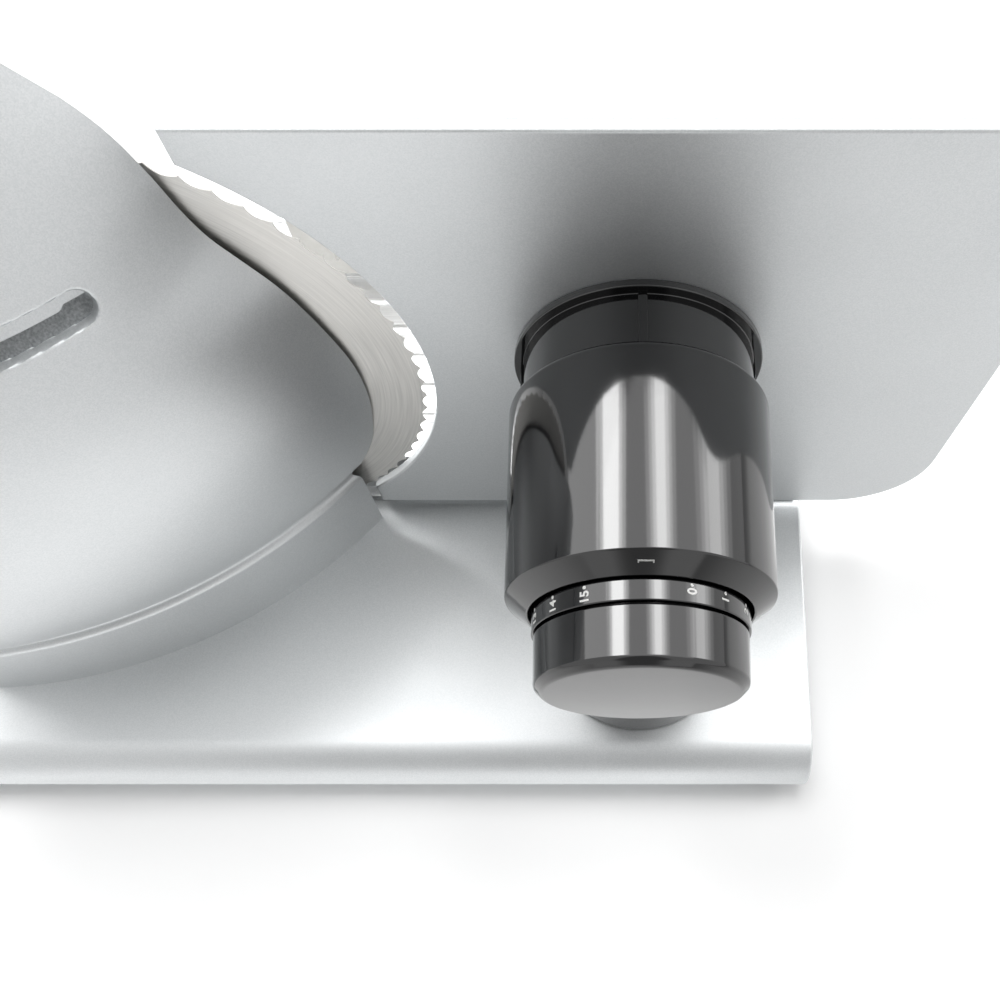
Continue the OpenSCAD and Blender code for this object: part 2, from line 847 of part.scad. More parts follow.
// Sprung pin in the web that clicks along the back of the dial
module dial_detent() {
  color(steel) bar_y(dial_x, dial_z - 20, web_y, web_y + web_t + 2, 2.5);
}

// Column that carries the control body
module control_column() {
  color(black) difference() {
    translate([column_x, column_y, base_top]) cylinder(h = dial_up, r = column_r);
    bar_y(dial_x, dial_z, -far, far, body_r + eps);
    translate([column_x, column_y, base_top - 1]) cylinder(h = dial_up - body_r - 6, r = column_r - 4);
    for (y = [-18, 18]) translate([column_x, column_y + y, 0]) cylinder(h = far, r = screw_r / 2);
  }
}

module column_screws() {
  top = dial_z - body_r - 0.1;
  color(steel) for (y = [-18, 18]) translate([column_x, column_y + y, 0]) {
    translate([0, 0, top - 13]) cylinder(h = 12.9, r = screw_r / 2 - run_gap);
    translate([0, 0, base_top + dial_up - body_r - 7 - 3]) cylinder(h = 3, r = screw_r);
  }
}

module dial_ring() {
  color(black) difference() {
    union() {
      bar_y(dial_x, dial_z, grip_y + groove_cut, ring_back, ring_r);
      bar_y(dial_x, dial_z, grip_y, grip_y + groove_cut + eps, grip_r - 2);
    }
    bar_y(dial_x, dial_z, grip_y + 6, far, ring_r - 3);
    bar_y(dial_x, dial_z, -far, far, spindle_r - 1);
  }
}

module dial_grip() {
  edge = 4;
  color(black) difference() {
    turned_y(dial_x, dial_z, [[0, grip_y], [grip_r, grip_y], [grip_end_r, grip_end],
      [grip_end_r - edge * 0.3, grip_end - dome_l * 0.4], [grip_end_r - edge, grip_end - dome_l * 0.65],
      [grip_end_r / 2, grip_end - dome_l * 0.9], [0, dial_end]]);
    bar_y(dial_x, dial_z, grip_end + 4, far, spindle_r - 1);
  }
}

module guide_rod() {
  color(steel) bar_x(rod_y, rod_z, rod_left, rod_right, rod_r);
}

module at_brackets() {
  for (x = [rod_left, rod_right - bracket_w]) translate([x, rod_y, base_top]) children();
}

module rod_brackets() {
  high = rod_z - base_top + rod_r + 3;
  color(grey) difference() {
    at_brackets() translate([0, -12, 0]) cube([bracket_w, 24, high]);
    bar_x(rod_y, rod_z, -far, far, rod_r);
    at_bracket_screws() cylinder(h = far, r = screw_r / 2, center = true);
    at_bracket_screws() translate([0, 0, high - 3]) cylinder(h = far, r = screw_r + run_gap);
  }
}

module at_bracket_screws() {
  for (y = [-8, 8]) at_brackets() translate([bracket_w / 2, y, 0]) children();
}

module bracket_screws() {
  high = rod_z - base_top + rod_r + 3;
  color(steel) at_bracket_screws() {
    translate([0, 0, high - 3]) cylinder(h = 2.4, r = screw_r);
    cylinder(h = high - 3, r = screw_r / 2 - run_gap);
  }
}

module carriage_tray() {
  color(steel) block([tray_left, tray_front, tray_z - tray_t], [tray_right, tray_back, tray_z]);
}

// Middles of the two bearing lugs along X
lug_places = [tray_left + 18, tray_right - 24];

module carriage_frame() {
  under = tray_z - tray_t;
  color(grey) difference() {
    union() {
      block([tray_left + 6, rod_y - web_w / 2, rod_z + rod_r], [tray_right - 6, rod_y + web_w / 2, under]);
      for (x = lug_places) bar_x(rod_y, rod_z, x - lug_l / 2, x + lug_l / 2, lug_r);
      for (x = lug_places) {
        block([x - 4, leg_y, base_top + shoe_h], [x + 4, leg_y + 8, under]);
        block([x - 3, leg_y, under - 14], [x + 3, rod_y, under]);
      }
    }
    bar_x(rod_y, rod_z, -far, far, bush_r);
  }
}

module carriage_bushes() {
  color("#b08a4a") for (x = lug_places) difference() {
    bar_x(rod_y, rod_z, x - lug_l / 2, x + lug_l / 2, bush_r - eps);
    bar_x(rod_y, rod_z, -far, far, rod_r + run_gap);
  }
}

module carriage_shoes() {
  color("#e6e3da") for (x = lug_places)
    block([x - 7, leg_y - 3, base_top + move_gap], [x + 7, leg_y + 11, base_top + shoe_h]);
}

// Upright end wall of the carriage, sloped at its back
module carriage_wall() {
  corner = 10;
  slope = 26;
  color(steel) translate([tray_right - wall_t, 0, 0]) rotate([90, 0, 90]) linear_extrude(wall_t) union() {
    polygon([[tray_front, tray_z], [tray_back, tray_z], [tray_back, wall_top - slope],
      [tray_back - slope, wall_top], [tray_front + corner, wall_top], [tray_front + corner, wall_top - corner],
      [tray_front, wall_top - corner]]);
    translate([tray_front + corner, wall_top - corner]) circle(corner);
  }
}

// Shield for the hand that pushes the carriage
module thumb_guard() {
  guard_w = 34;
  corner = 12;
  low = tray_z + 4;
  color(white) sheet_y(tray_front + 1, tray_front + 5) union() {
    translate([tray_right, low]) square([guard_w, wall_h - 8 - corner]);
    translate([tray_right, low]) square([guard_w - corner, wall_h - 8]);
    translate([tray_right + guard_w - corner, wall_top - 4 - corner]) circle(corner);
  }
}

// Food holder that slides along the end wall towards the blade
module food_pusher() {
  color(white) block([pusher_left, pusher_y, tray_z + 3], [clip_left, pusher_y + pusher_t, wall_top + 10]);
}

// Clip that rides on the carriage's end wall
module pusher_clip() {
  mid = pusher_y + pusher_t / 2;
  color(white) difference() {
    block([clip_left, mid - clip_l / 2, wall_top - 14], [clip_mid + clip_slot + clip_t, mid + clip_l / 2, wall_top + 5]);
    block([clip_mid - clip_slot, -far, -far], [clip_mid + clip_slot, far, wall_top + move_gap]);
  }
}

// Spikes that hold the food against the pusher
module pusher_spikes() {
  spikes = 5;
  color(white) for (i = [0 : spikes - 1], z = [tray_z + 17, tray_z + 37])
    translate([pusher_left + 16 + i * 20, pusher_y, z]) rotate([90, 0, 0]) cylinder(h = spike_l, r1 = 2, r2 = 0.4);
}

module pusher_handle() {
  x = tray_left + 62;
  z = tray_z + 36;
  y = pusher_y + pusher_t;
  color(white) turned_y(x, z, [[0, y], [8, y], [7, y + 5], [13, y + 9], [14, y + 12],
    [12, y + 15], [7, y + 16.5], [0, y + 17]]);
}

// Body of the two switches behind the left wall
module switch_block() {
  x = housing_x + housing_t + move_gap;
  color(black) difference() {
    block([x, switch_y - 12, rocker_z - 16], [x + 22, switch_y + 12, button_z + 14]);
    block([x - 1, switch_y - rocker_w / 2 - move_gap, rocker_z - rocker_h / 2 - move_gap],
      [x + 9, switch_y + rocker_w / 2 + move_gap, rocker_z + rocker_h / 2 + move_gap]);
    bar_x(switch_y, button_z, x - 1, x + 9, button_r + button_lip + move_gap);
    bar_y(x + 2, rocker_z, switch_y - 10, switch_y + 10, 1.5 + run_gap);
  }
}

// Rocker with its own pivot pin, tipped to one side by its shape
module rocker_switch() {
  pivot = housing_x + housing_t + move_gap + 2;
  half = rocker_h / 2 - 1.2;
  face = pivot - housing_x;
  color("#1f2022") {
    sheet_y(switch_y - rocker_w / 2, switch_y + rocker_w / 2) translate([pivot, rocker_z]) rotate(rocker_tilt)
      polygon([[-face - 1, half], [-face, 0], [-face - 1, -half], [2.4, 2 - half], [2.4, half - 2]]);
    bar_y(pivot, rocker_z, switch_y - 9.5, switch_y + 9.5, 1.5);
  }
}

module push_button() {
  back = housing_x + housing_t + move_gap + 5;
  color("#1f2022") {
    bar_x(switch_y, button_z, housing_x - button_travel - 0.3, back, button_r);
    bar_x(switch_y, button_z, back - 3, back, button_r + button_lip);
  }
}

base_shell();
base_cover();
base_feet();
cover_screws();
guide_strip();
inlet_gland();
housing_shell();
groove_liner();
housing_back();
blade_guard();
blade();
blade_hub();
blade_shaft();
worm_wheel();
front_bearing();
rear_bearing();
bearing_bridge();
bridge_screws();
lock_screw();
motor_can();
motor_end_cap();
motor_stator();
motor_cradle();
motor_bearings();
motor_shaft();
motor_rotor();
motor_fan();
worm();
gauge_plate();
plate_sleeve();
sleeve_nut();
plate_screws();
control_body();
control_column();
column_screws();
control_web();
dial_detent();
dial_ring();
dial_grip();
dial_spindle();
spindle_clip();
guide_rod();
rod_brackets();
bracket_screws();
carriage_tray();
carriage_frame();
carriage_bushes();
carriage_shoes();
carriage_wall();
thumb_guard();
food_pusher();
pusher_clip();
pusher_spikes();
pusher_handle();
switch_block();
rocker_switch();
push_button();
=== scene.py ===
# %% [markdown]
# # An electric food slicer, dressed around its CAD frame
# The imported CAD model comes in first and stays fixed: it gives every place and size. Each visible piece
# is either a CAD solid with a better finish, or a new mesh that stands for a CAD solid and has the rounded
# edges, teeth, print and ribs of a real slicer. New meshes are drawn in millimetres, as the CAD is, and
# scaled to metres once, when the piece is finished.

# %% Load the frame
import json
from math import acos, asin, atan2, cos, degrees, pi, radians, sin, sqrt, tan

import bmesh
import bpy
from mathutils import Matrix, Vector


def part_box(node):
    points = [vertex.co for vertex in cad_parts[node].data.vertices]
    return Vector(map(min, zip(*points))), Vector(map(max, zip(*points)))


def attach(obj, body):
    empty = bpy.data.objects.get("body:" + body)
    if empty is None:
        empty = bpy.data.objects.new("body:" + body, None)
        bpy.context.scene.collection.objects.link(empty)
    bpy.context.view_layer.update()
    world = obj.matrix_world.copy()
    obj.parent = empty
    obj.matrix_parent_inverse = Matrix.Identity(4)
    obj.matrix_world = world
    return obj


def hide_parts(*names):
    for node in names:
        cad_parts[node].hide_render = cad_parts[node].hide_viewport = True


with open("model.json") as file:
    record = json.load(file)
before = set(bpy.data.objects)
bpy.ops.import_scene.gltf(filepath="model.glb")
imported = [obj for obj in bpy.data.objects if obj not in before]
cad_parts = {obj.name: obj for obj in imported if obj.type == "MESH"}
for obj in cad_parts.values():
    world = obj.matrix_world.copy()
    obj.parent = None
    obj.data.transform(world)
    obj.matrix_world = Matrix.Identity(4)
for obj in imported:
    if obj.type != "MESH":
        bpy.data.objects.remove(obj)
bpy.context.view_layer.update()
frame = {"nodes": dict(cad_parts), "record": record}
scene = bpy.context.scene
MM = 0.001


def box_mm(node):
    """Lowest and highest corner of a CAD node, in millimetres."""
    low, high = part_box(node)
    return Vector(low) / MM, Vector(high) / MM


# %% [markdown]
# ## Where the main pieces are
# The dial and the blade are round, so the middle of their CAD boxes gives their axes. Typed numbers would
# go stale if a size changed in the frame.

# %% Axes and levels
blade_low, blade_high = box_mm("blade")
BLADE = (blade_low + blade_high) / 2
BLADE_R = (blade_high.x - blade_low.x) / 2
grip_low, grip_high = box_mm("dial_grip")
DIAL = (grip_low + grip_high) / 2
base_low, base_high = box_mm("base_shell")
body_low, body_high = box_mm("control_body")
plate_low, plate_high = box_mm("gauge_plate")
print("blade axis", tuple(round(v, 1) for v in BLADE), "dial axis", tuple(round(v, 1) for v in DIAL))

# %% [markdown]
# ## Camera
# The photograph is a close view from above the dial. Its lens, tilt and place were fitted to the round
# pieces, the base's edges and the blade's rim. The frame is a crop of a larger picture, so the lens is
# shifted by as much as that crop needs.

# %% Camera
eye = bpy.data.objects.new("camera", bpy.data.cameras.new("camera"))
eye.location = (0.06623, -0.1805, 0.37524)
eye.rotation_euler = (radians(14.36), 0, 0)
eye.data.lens = 33.595
eye.data.shift_x = -0.10273
eye.data.shift_y = 0.2
eye.data.clip_start = 0.01
scene.collection.objects.link(eye)
scene.camera = eye
print("lens", eye.data.lens, "mm")

# %% [markdown]
# ## Colours and nodes
# Colours are written as sRGB hex values, as a paint chart gives them, and turned to the linear values that
# a shader needs. The other helpers add a node and link it, so that a material reads like a recipe.


# %% Colour and node helpers
def linear(hex_colour):
    """sRGB hex to a linear RGBA value."""
    parts = [int(hex_colour[i:i + 2], 16) / 255 for i in (1, 3, 5)]
    return tuple(c / 12.92 if c <= 0.04045 else ((c + 0.055) / 1.055) ** 2.4 for c in parts) + (1.0,)


def add(tree, kind, settings=None, **links):
    """Add a node. Settings are its properties; links are its inputs, by name or by number as i0, i1."""
    made = tree.nodes.new(kind)
    for name, value in (settings or {}).items():
        setattr(made, name, value)
    for name, value in links.items():
        numbered = name[0] == "i" and name[1:].isdigit()
        socket = made.inputs[int(name[1:]) if numbered else name.replace("_", " ")]
        if isinstance(value, bpy.types.NodeSocket):
            tree.links.new(value, socket)
        else:
            socket.default_value = value
    return made


def maths(tree, operation, *values, kind="ShaderNodeMath", out="Value"):
    """Result of a Math node, or of another kind of node that has an operation."""
    return add(tree, kind, {"operation": operation}, **{f"i{k}": v for k, v in enumerate(values)}).outputs[out]


def vectors(tree, operation, *values, out="Vector"):
    """Result of a Vector Math node."""
    return maths(tree, operation, *values, kind="ShaderNodeVectorMath", out=out)


def times(tree, vector, number):
    """A vector made longer or shorter."""
    return add(tree, "ShaderNodeVectorMath", {"operation": "SCALE"}, i0=vector, Scale=number).outputs[0]


def remap(tree, value, start, end, low, high, kind="LINEAR"):
    """Carry a number from the range start to end over to the range low to high."""
    return add(tree, "ShaderNodeMapRange", {"interpolation_type": kind}, Value=value,
               From_Min=start, From_Max=end, To_Min=low, To_Max=high).outputs[0]


def ramp(tree, factor, low, high, start=0.0, end=1.0):
    """Blend two colours or numbers by a factor."""
    if not isinstance(low, str):
        return remap(tree, factor, start, end, low, high)
    share = remap(tree, factor, start, end, 0.0, 1.0)
    return add(tree, "ShaderNodeMix", {"data_type": "RGBA"}, i0=share, i6=linear(low), i7=linear(high)).outputs[2]


# %% [markdown]
# Real surfaces are never even. Noise, sized in millimetres, makes their colour, roughness and height drift.


# %% Material helpers
def finish(name, colour, metallic, roughness, **sockets):
    """Start a material from its Principled shader."""
    made = bpy.data.materials.new(name)
    made.use_nodes = True
    shader = made.node_tree.nodes["Principled BSDF"]
    sockets.update(Base_Color=linear(colour), Metallic=metallic, Roughness=roughness)
    for key, value in sockets.items():
        shader.inputs[key.replace("_", " ")].default_value = value
    return made, made.node_tree, shader


def feed(tree, shader, **results):
    """Link results to the inputs of a shader."""
    for name, result in results.items():
        tree.links.new(result, shader.inputs[name.replace("_", " ")])


def on_object(tree):
    """The place on the object, in metres."""
    return add(tree, "ShaderNodeTexCoord").outputs["Object"]


def noise(tree, where, size, detail):
    """Noise with features of this size in millimetres."""
    return add(tree, "ShaderNodeTexNoise", None, Vector=where, Scale=1 / (size * MM), Detail=detail).outputs[0]


def bumps(tree, height, strength, distance=0.1):
    """An uneven skin, its height in millimetres."""
    return add(tree, "ShaderNodeBump", None, Strength=strength, Distance=distance * MM, Height=height).outputs[0]


# %% [markdown]
# ## Silver lacquer on the cast parts
# The base, the housing and the gauge plate are aluminium castings with a silver metallic lacquer. Metal
# flakes of a few tenths of a millimetre lie nearly flat in it, so it shines softly like satin metal and
# has a fine sparkle. Voronoi cells stand for the flakes, because each cell has one tone. They are a
# little coarser than real flakes, so that they show.

# %% Silver lacquer
FLAKE, DRIFT = 0.3, 30
silver, tree, shader = finish("silver_metallic_lacquer", "#e0e3e4", 0.82, 0.45)
where = on_object(tree)
flakes = add(tree, "ShaderNodeTexVoronoi", None, Vector=where, Scale=1 / (FLAKE * MM)).outputs["Color"]
flake = add(tree, "ShaderNodeSeparateColor", None, Color=flakes).outputs[0]
rough = ramp(tree, noise(tree, where, DRIFT, 3.0), 0.42, 0.46, 0.35, 0.65)
feed(tree, shader, Base_Color=ramp(tree, flake, "#dbdedf", "#e6e8e9"),
     Roughness=maths(tree, "MULTIPLY_ADD", flake, 0.05, rough), Normal=bumps(tree, flake, 0.025))
print("silver lacquer with flakes of", FLAKE, "mm")

# %% [markdown]
# ## Ground blade steel
# The blade is a stainless disc that was ground while it turned, so its scratches are circles about its
# axis. A straight brushed pattern would run across them, so the noise is read in polar coordinates: fine
# across the radius, long along the circle.

# %% Blade steel
SCRATCH, ARC = 0.6, 0.002  # width in millimetres; metres of noise in one radian
blade_steel, tree, shader = finish("ground_stainless_blade", "#d6d4d0", 1.0, 0.46)
from_hub = vectors(tree, "SUBTRACT", on_object(tree), tuple(BLADE * MM))
x, _, z = add(tree, "ShaderNodeSeparateXYZ", None, Vector=from_hub).outputs
radius = maths(tree, "SQRT", maths(tree, "ADD", maths(tree, "POWER", x, 2.0), maths(tree, "POWER", z, 2.0)))
arc = maths(tree, "MULTIPLY", maths(tree, "ARCTAN2", z, x), ARC)
polar = add(tree, "ShaderNodeCombineXYZ", None, X=radius, Y=arc).outputs[0]
scratch = noise(tree, polar, SCRATCH, 4.0)
feed(tree, shader, Base_Color=ramp(tree, scratch, "#d6d4d0", "#eae8e4", 0.3, 0.7),
     Roughness=ramp(tree, scratch, 0.4, 0.52, 0.3, 0.7), Normal=bumps(tree, scratch, 0.12))
print("blade steel ground about", tuple(round(v, 4) for v in BLADE * MM))

# %% [markdown]
# ## Black plastics and print
# The control body and the dial are moulded in black ABS with a polished skin: nearly black by itself, it
# shows whatever stands around it, and a very faint orange peel of about 3 mm keeps it from looking like
# glass. A second, grained black is used for pieces that are hidden. The scale is printed in white ink.

# %% Black plastics and ink
gloss_black, tree, shader = finish("polished_black_abs", "#0b0b0d", 0.0, 0.08, IOR=1.72)
peel = noise(tree, on_object(tree), 3, 1.0)
feed(tree, shader, Roughness=ramp(tree, peel, 0.06, 0.1), Normal=bumps(tree, peel, 0.03))

grain_black, tree, shader = finish("grained_black_abs", "#1b1c1e", 0.0, 0.5)
grain = noise(tree, on_object(tree), 0.7, 2.0)
feed(tree, shader, Base_Color=ramp(tree, grain, "#161719", "#212224"), Roughness=ramp(tree, grain, 0.42, 0.6),
     Normal=bumps(tree, grain, 0.25, 0.2))

print_white, tree, shader = finish("pad_printed_white_ink", "#f2f2f0", 0.0, 0.45)
feed(tree, shader, Base_Color=ramp(tree, noise(tree, on_object(tree), 0.3, 2.0), "#e6e6e3", "#f8f8f6"))
print("made", gloss_black.name, grain_black.name, print_white.name)

# %% [markdown]
# ## Sheet steel, cast alloy and the working metals
# The carriage is brushed stainless sheet, its scratches run along the travel. Brackets and bearing seats
# are die-cast alloy with a slightly uneven skin. Screws are zinc plated, shafts are ground bright, and
# the plain bearings are sintered bronze, whose pores show as dark specks. They differ only in colour,
# grain and polish, so one recipe makes them all.


# %% Metals from one recipe
def metal(name, colour, low, high, rough, grain_mm, stretch, bump_strength):
    """A metal whose colour and roughness vary with a noise that may be drawn out along an axis."""
    made, tree, shader = finish(name, colour, 1.0, rough)
    drawn = add(tree, "ShaderNodeMapping", None, Vector=on_object(tree), Scale=stretch).outputs[0]
    grain = noise(tree, drawn, grain_mm, 4.0)
    feed(tree, shader, Base_Color=ramp(tree, grain, low, high, 0.3, 0.7),
         Roughness=ramp(tree, grain, rough * 0.8, rough * 1.25, 0.3, 0.7), Normal=bumps(tree, grain, bump_strength))
    return made


sheet_steel = metal("brushed_stainless_sheet", "#e8e9ea", "#e0e1e2", "#f0f1f2", 0.34, 0.5, (0.02, 1, 1), 0.1)
cast_alloy = metal("die_cast_aluminium", "#a9acae", "#9c9fa1", "#b6b9bb", 0.48, 1.2, (1, 1, 1), 0.25)
zinc = metal("zinc_plated_steel", "#b4b7b8", "#a6a9ac", "#c4c6c4", 0.34, 2.5, (1, 1, 1), 0.05)
bright_steel = metal("ground_bright_steel", "#c6c8ca", "#b9bbbe", "#d2d4d5", 0.2, 0.4, (0.03, 1, 1), 0.05)
bronze = metal("sintered_bronze", "#a9803f", "#7d5c2a", "#bd9450", 0.45, 0.3, (1, 1, 1), 0.2)
print("metals:", sheet_steel.name, cast_alloy.name, zinc.name, bright_steel.name, bronze.name)

# %% [markdown]
# ## Plastics, rubber and windings
# Moulded plastic takes its skin from the mould, rubber is the dullest, and enamelled wire has the strongest
# relief. Again one recipe serves them all.


# %% Plastics, rubber and windings from one recipe
def moulded(name, low, high, rough_low, rough_high, grain_mm, bump_strength):
    """A moulded, sprayed or wound material with a fine uneven skin."""
    made, tree, shader = finish(name, low, 0.0, rough_high)
    grain = noise(tree, on_object(tree), grain_mm, 3.0)
    feed(tree, shader, Base_Color=ramp(tree, grain, low, high, 0.3, 0.7),
         Roughness=ramp(tree, grain, rough_low, rough_high), Normal=bumps(tree, grain, bump_strength, 0.2))
    return made


grey_plastic = moulded("moulded_grey_abs", "#84888b", "#92969a", 0.4, 0.55, 0.8, 0.15)
nylon = moulded("natural_nylon", "#d9d4c4", "#e8e4d8", 0.35, 0.5, 1.5, 0.1)
rubber = moulded("moulded_black_rubber", "#141414", "#212121", 0.65, 0.85, 0.9, 0.3)
# painted shade: a darker speckled grey that stands for the shaded lower side of the housing's groove
speckled_painted_shade = moulded("speckled_grey_lacquer", "#8f9395", "#c0c3c5", 0.35, 0.5, 0.6, 0.3)
white_abs = moulded("polished_white_abs", "#eeede9", "#f5f4f1", 0.16, 0.26, 3.0, 0.02)
windings = moulded("enamelled_copper_wire", "#6b3315", "#a5602f", 0.25, 0.5, 0.6, 0.6)
print("materials so far:", len(bpy.data.materials))

# %% [markdown]
# The CAD record gives each solid a slot, and this table gives the slot a material. A visible piece takes
# its slot and its moving body from the node that it stands for.

# %% Slots and bodies of the nodes
MATERIAL = {"silver_paint": silver, "blade_steel": blade_steel, "steel": bright_steel, "zinc_steel": zinc,
            "stainless_sheet": sheet_steel, "cast_alloy": cast_alloy, "black_gloss": gloss_black,
            "black_matte": grain_black, "grey_plastic": grey_plastic, "white_nylon": nylon, "bronze": bronze,
            "copper_winding": windings, "rubber": rubber, "white_plastic": white_abs}
SLOT = {sub["node"]: sub["material_slot"] for sub in frame["record"]["subparts"]}
BODY = {node: body for body, nodes in frame["record"]["behaviour"]["bodies"].items() for node in nodes}
print(len(MATERIAL), "slots have a material,", len(BODY), "nodes have a body")

# %% [markdown]
# ## Drawing helpers
# Most pieces are either cut from a flat outline or turned, like work from a lathe. Their corners are
# rounded in the mesh itself, so that the edges catch light as real ones do. Holes are cut with booleans.


# %% Cut pieces
def arc_points(centre, r, start, end, steps):
    """Points on a circle, angles in degrees."""
    return [(centre[0] + r * cos(radians(start + (end - start) * k / steps)),
             centre[1] + r * sin(radians(start + (end - start) * k / steps))) for k in range(steps + 1)]


def placed(axis, a, b, height):
    """A place at a height along an axis, and at (a, b) across it."""
    return {"X": (height, a, b), "Y": (a, height, b), "Z": (a, b, height)}[axis]


def outward(bm):
    """Turn all faces outwards."""
    bmesh.ops.recalc_face_normals(bm, faces=bm.faces)
    return bm


def soften(bm, edges, size, segments=3):
    """Round the given edges."""
    bmesh.ops.bevel(bm, geom=edges, offset=size, offset_type="OFFSET", segments=segments, profile=0.5,
                    affect="EDGES", clamp_overlap=True)


def cut(outline, low, high, edge, axis="Y"):
    """Cut a flat piece from an outline, between two levels along an axis, with rounded rims."""
    bm = bmesh.new()
    floor = bm.faces.new([bm.verts.new(placed(axis, a, b, low)) for a, b in outline])
    grown = bmesh.ops.extrude_face_region(bm, geom=[floor])
    lift = Vector(placed(axis, 0, 0, high - low))
    bmesh.ops.translate(bm, vec=lift, verts=[v for v in grown["geom"] if isinstance(v, bmesh.types.BMVert)])
    outward(bm)
    if edge:
        rims = dict.fromkeys(e for f in bm.faces if len(f.verts) > 4 for e in f.edges)
        soften(bm, list(rims), edge)
    return bm


# %% Turned pieces
def rounded(points, steps):
    """Round the corners of an open path; each point is (a, b) or (a, b, corner radius)."""
    path = []
    for i, point in enumerate(points):
        here = Vector(point[:2])
        size = point[2] if len(point) > 2 else 0
        if not size or i in (0, len(points) - 1):
            path.append(tuple(here))
            continue
        back = (Vector(points[i - 1][:2]) - here).normalized()
        ahead = (Vector(points[i + 1][:2]) - here).normalized()
        half = back.angle(ahead) / 2
        reach = size / tan(half)
        middle = here + (back + ahead).normalized() * (size / sin(half))
        start, end = here + back * reach - middle, here + ahead * reach - middle
        sweep = start.angle_signed(end)
        for k in range(steps + 1):
            path.append(tuple(middle + Matrix.Rotation(-sweep * k / steps, 2) @ start))
    return path


def turned(profile, centre, steps, closed=False, axis="Y"):
    """Turn (radius, height) points about an axis through centre; radius 0 closes an end."""
    bm = bmesh.new()
    mid_a, mid_b = (c for c, name in zip(centre, "XYZ") if name != axis)
    rings = []
    for r, height in profile:
        turns = [2 * pi * k / steps for k in range(1 if r < 1e-6 else steps)]
        rings.append([bm.verts.new(placed(axis, mid_a + r * sin(t), mid_b + r * cos(t), height)) for t in turns])
    pairs = list(zip(rings, rings[1:])) + ([(rings[-1], rings[0])] if closed else [])
    for low, high in pairs:
        for k in range(steps):
            n = (k + 1) % steps
            corners = [low[k % len(low)], low[n % len(low)], high[n % len(high)], high[k % len(high)]]
            face = list(dict.fromkeys(corners))
            if len(face) > 2:
                bm.faces.new(face)
    return outward(bm)


# %% Boolean cuts
def brick(low, high):
    """A plain box, for cutting."""
    bm = bmesh.new()
    bmesh.ops.create_cube(bm, size=1)
    for v in bm.verts:
        v.co = [(a + b) / 2 + c * (b - a) for a, b, c in zip(low, high, v.co)]
    return bm


def linked(bm, name="scratch"):
    """An object in the scene, made from a drawn mesh."""
    mesh = bpy.data.meshes.new(name)
    bm.to_mesh(mesh)
    bm.free()
    made = bpy.data.objects.new(name, mesh)
    scene.collection.objects.link(made)
    return made


def evaluated(thing):
    """The mesh of an object with its modifiers applied."""
    return bpy.data.meshes.new_from_object(thing.evaluated_get(bpy.context.evaluated_depsgraph_get()))


def discard(thing):
    """Remove a scratch object and its mesh."""
    mesh = thing.data
    bpy.data.objects.remove(thing)
    bpy.data.meshes.remove(mesh)


def carve(bm, *cutters):
    """Take cutter meshes away from a mesh."""
    body = linked(bm)
    tools = [linked(cutter) for cutter in cutters]
    for tool in tools:
        step = body.modifiers.new("cut", "BOOLEAN")
        step.operation, step.solver, step.object = "DIFFERENCE", "EXACT", tool
    result = evaluated(body)
    made = bmesh.new()
    made.from_mesh(result)
    for used in [body] + tools:
        discard(used)
    bpy.data.meshes.remove(result)
    return made


# %% [markdown]
# ## Finishing a piece
# A finished mesh is scaled to metres and gets its material and the body it rides on, and the CAD solid it
# stands for is hidden. Its shading is smooth with sharp corners kept, and large faces count more in it than
# the narrow ones at their rims, so that flat walls look flat.


# %% Finish a piece
def settle(name, mesh, node, corner=32, material=None, extra=False):
    """Link a mesh in metres that stands for a CAD node, or is an extra on it, and hide the node it replaces."""
    body, slot, replaces = BODY[node], SLOT[node], () if extra else (node,)
    mesh.materials.clear()
    mesh.materials.append(material or MATERIAL[slot])
    mesh.shade_smooth()
    mesh.set_sharp_from_angle(angle=radians(corner))
    draft = bpy.data.objects.new(name, mesh)
    scene.collection.objects.link(draft)
    even = draft.modifiers.new("even", "WEIGHTED_NORMAL")
    even.keep_sharp = True
    ready = evaluated(draft)
    draft.modifiers.clear()
    draft.data = ready
    bpy.data.meshes.remove(mesh)
    ready.name = name
    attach(draft, body)
    if replaces:
        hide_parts(*replaces)
    print(f"{name}: {len(ready.polygons)} faces on {body}")


def piece(name, bm, *told, **more):
    """Make an object from a mesh drawn in millimetres."""
    mesh = bpy.data.meshes.new(name)
    bm.to_mesh(mesh)
    bm.free()
    mesh.transform(Matrix.Scale(MM, 4))
    settle(name, mesh, *told, **more)


# %% [markdown]
# ## Base
# The base is a low casting that is open below. Its front and back edges are fully rounded, and its ends
# are cut square with a small radius. A bevelled box would round all edges alike, so the profile is drawn,
# seen from the right, and runs the whole width. The blade dips into a slot in its top.

# %% Base
NOSE, END_R, BASE_WALL = 15, 1.6, 3
SLOT_HALF, SLOT_DEEP = 38, 9
top, bottom = base_high.z, base_low.z
front, back = base_low.y, base_high.y
side = [(front, bottom)] + arc_points((front + NOSE, top - NOSE), NOSE, 180, 90, 16)
side += arc_points((back - NOSE, top - NOSE), NOSE, 90, 0, 16) + [(back, bottom)]
base_piece = cut(side, base_low.x, base_high.x, END_R, "X")
inside = [(y + (BASE_WALL if y < 0 else -BASE_WALL), z - BASE_WALL if z > bottom else bottom - 1) for y, z in side]
hollow = cut(inside, base_low.x + BASE_WALL, base_high.x - BASE_WALL, 0, "X")
slot_cut = brick((BLADE.x - SLOT_HALF, blade_low.y - 2, top - SLOT_DEEP),
                 (BLADE.x + SLOT_HALF, blade_high.y + 3, top + SLOT_DEEP))
piece("base_casting", carve(base_piece, hollow, slot_cut), "base_shell", 40)

# %% [markdown]
# ## Housing
# The housing is a bulged wall that was turned about an upright axis and cut off by the plane of the
# blade. Below, a straight foot stands out from the wall with a soft shoulder, which catches a line of
# light. Booleans would leave ragged faces there, so the wall is drawn as a grid: one way round the axis,
# the other way up the wall, with closer rows where the groove runs.

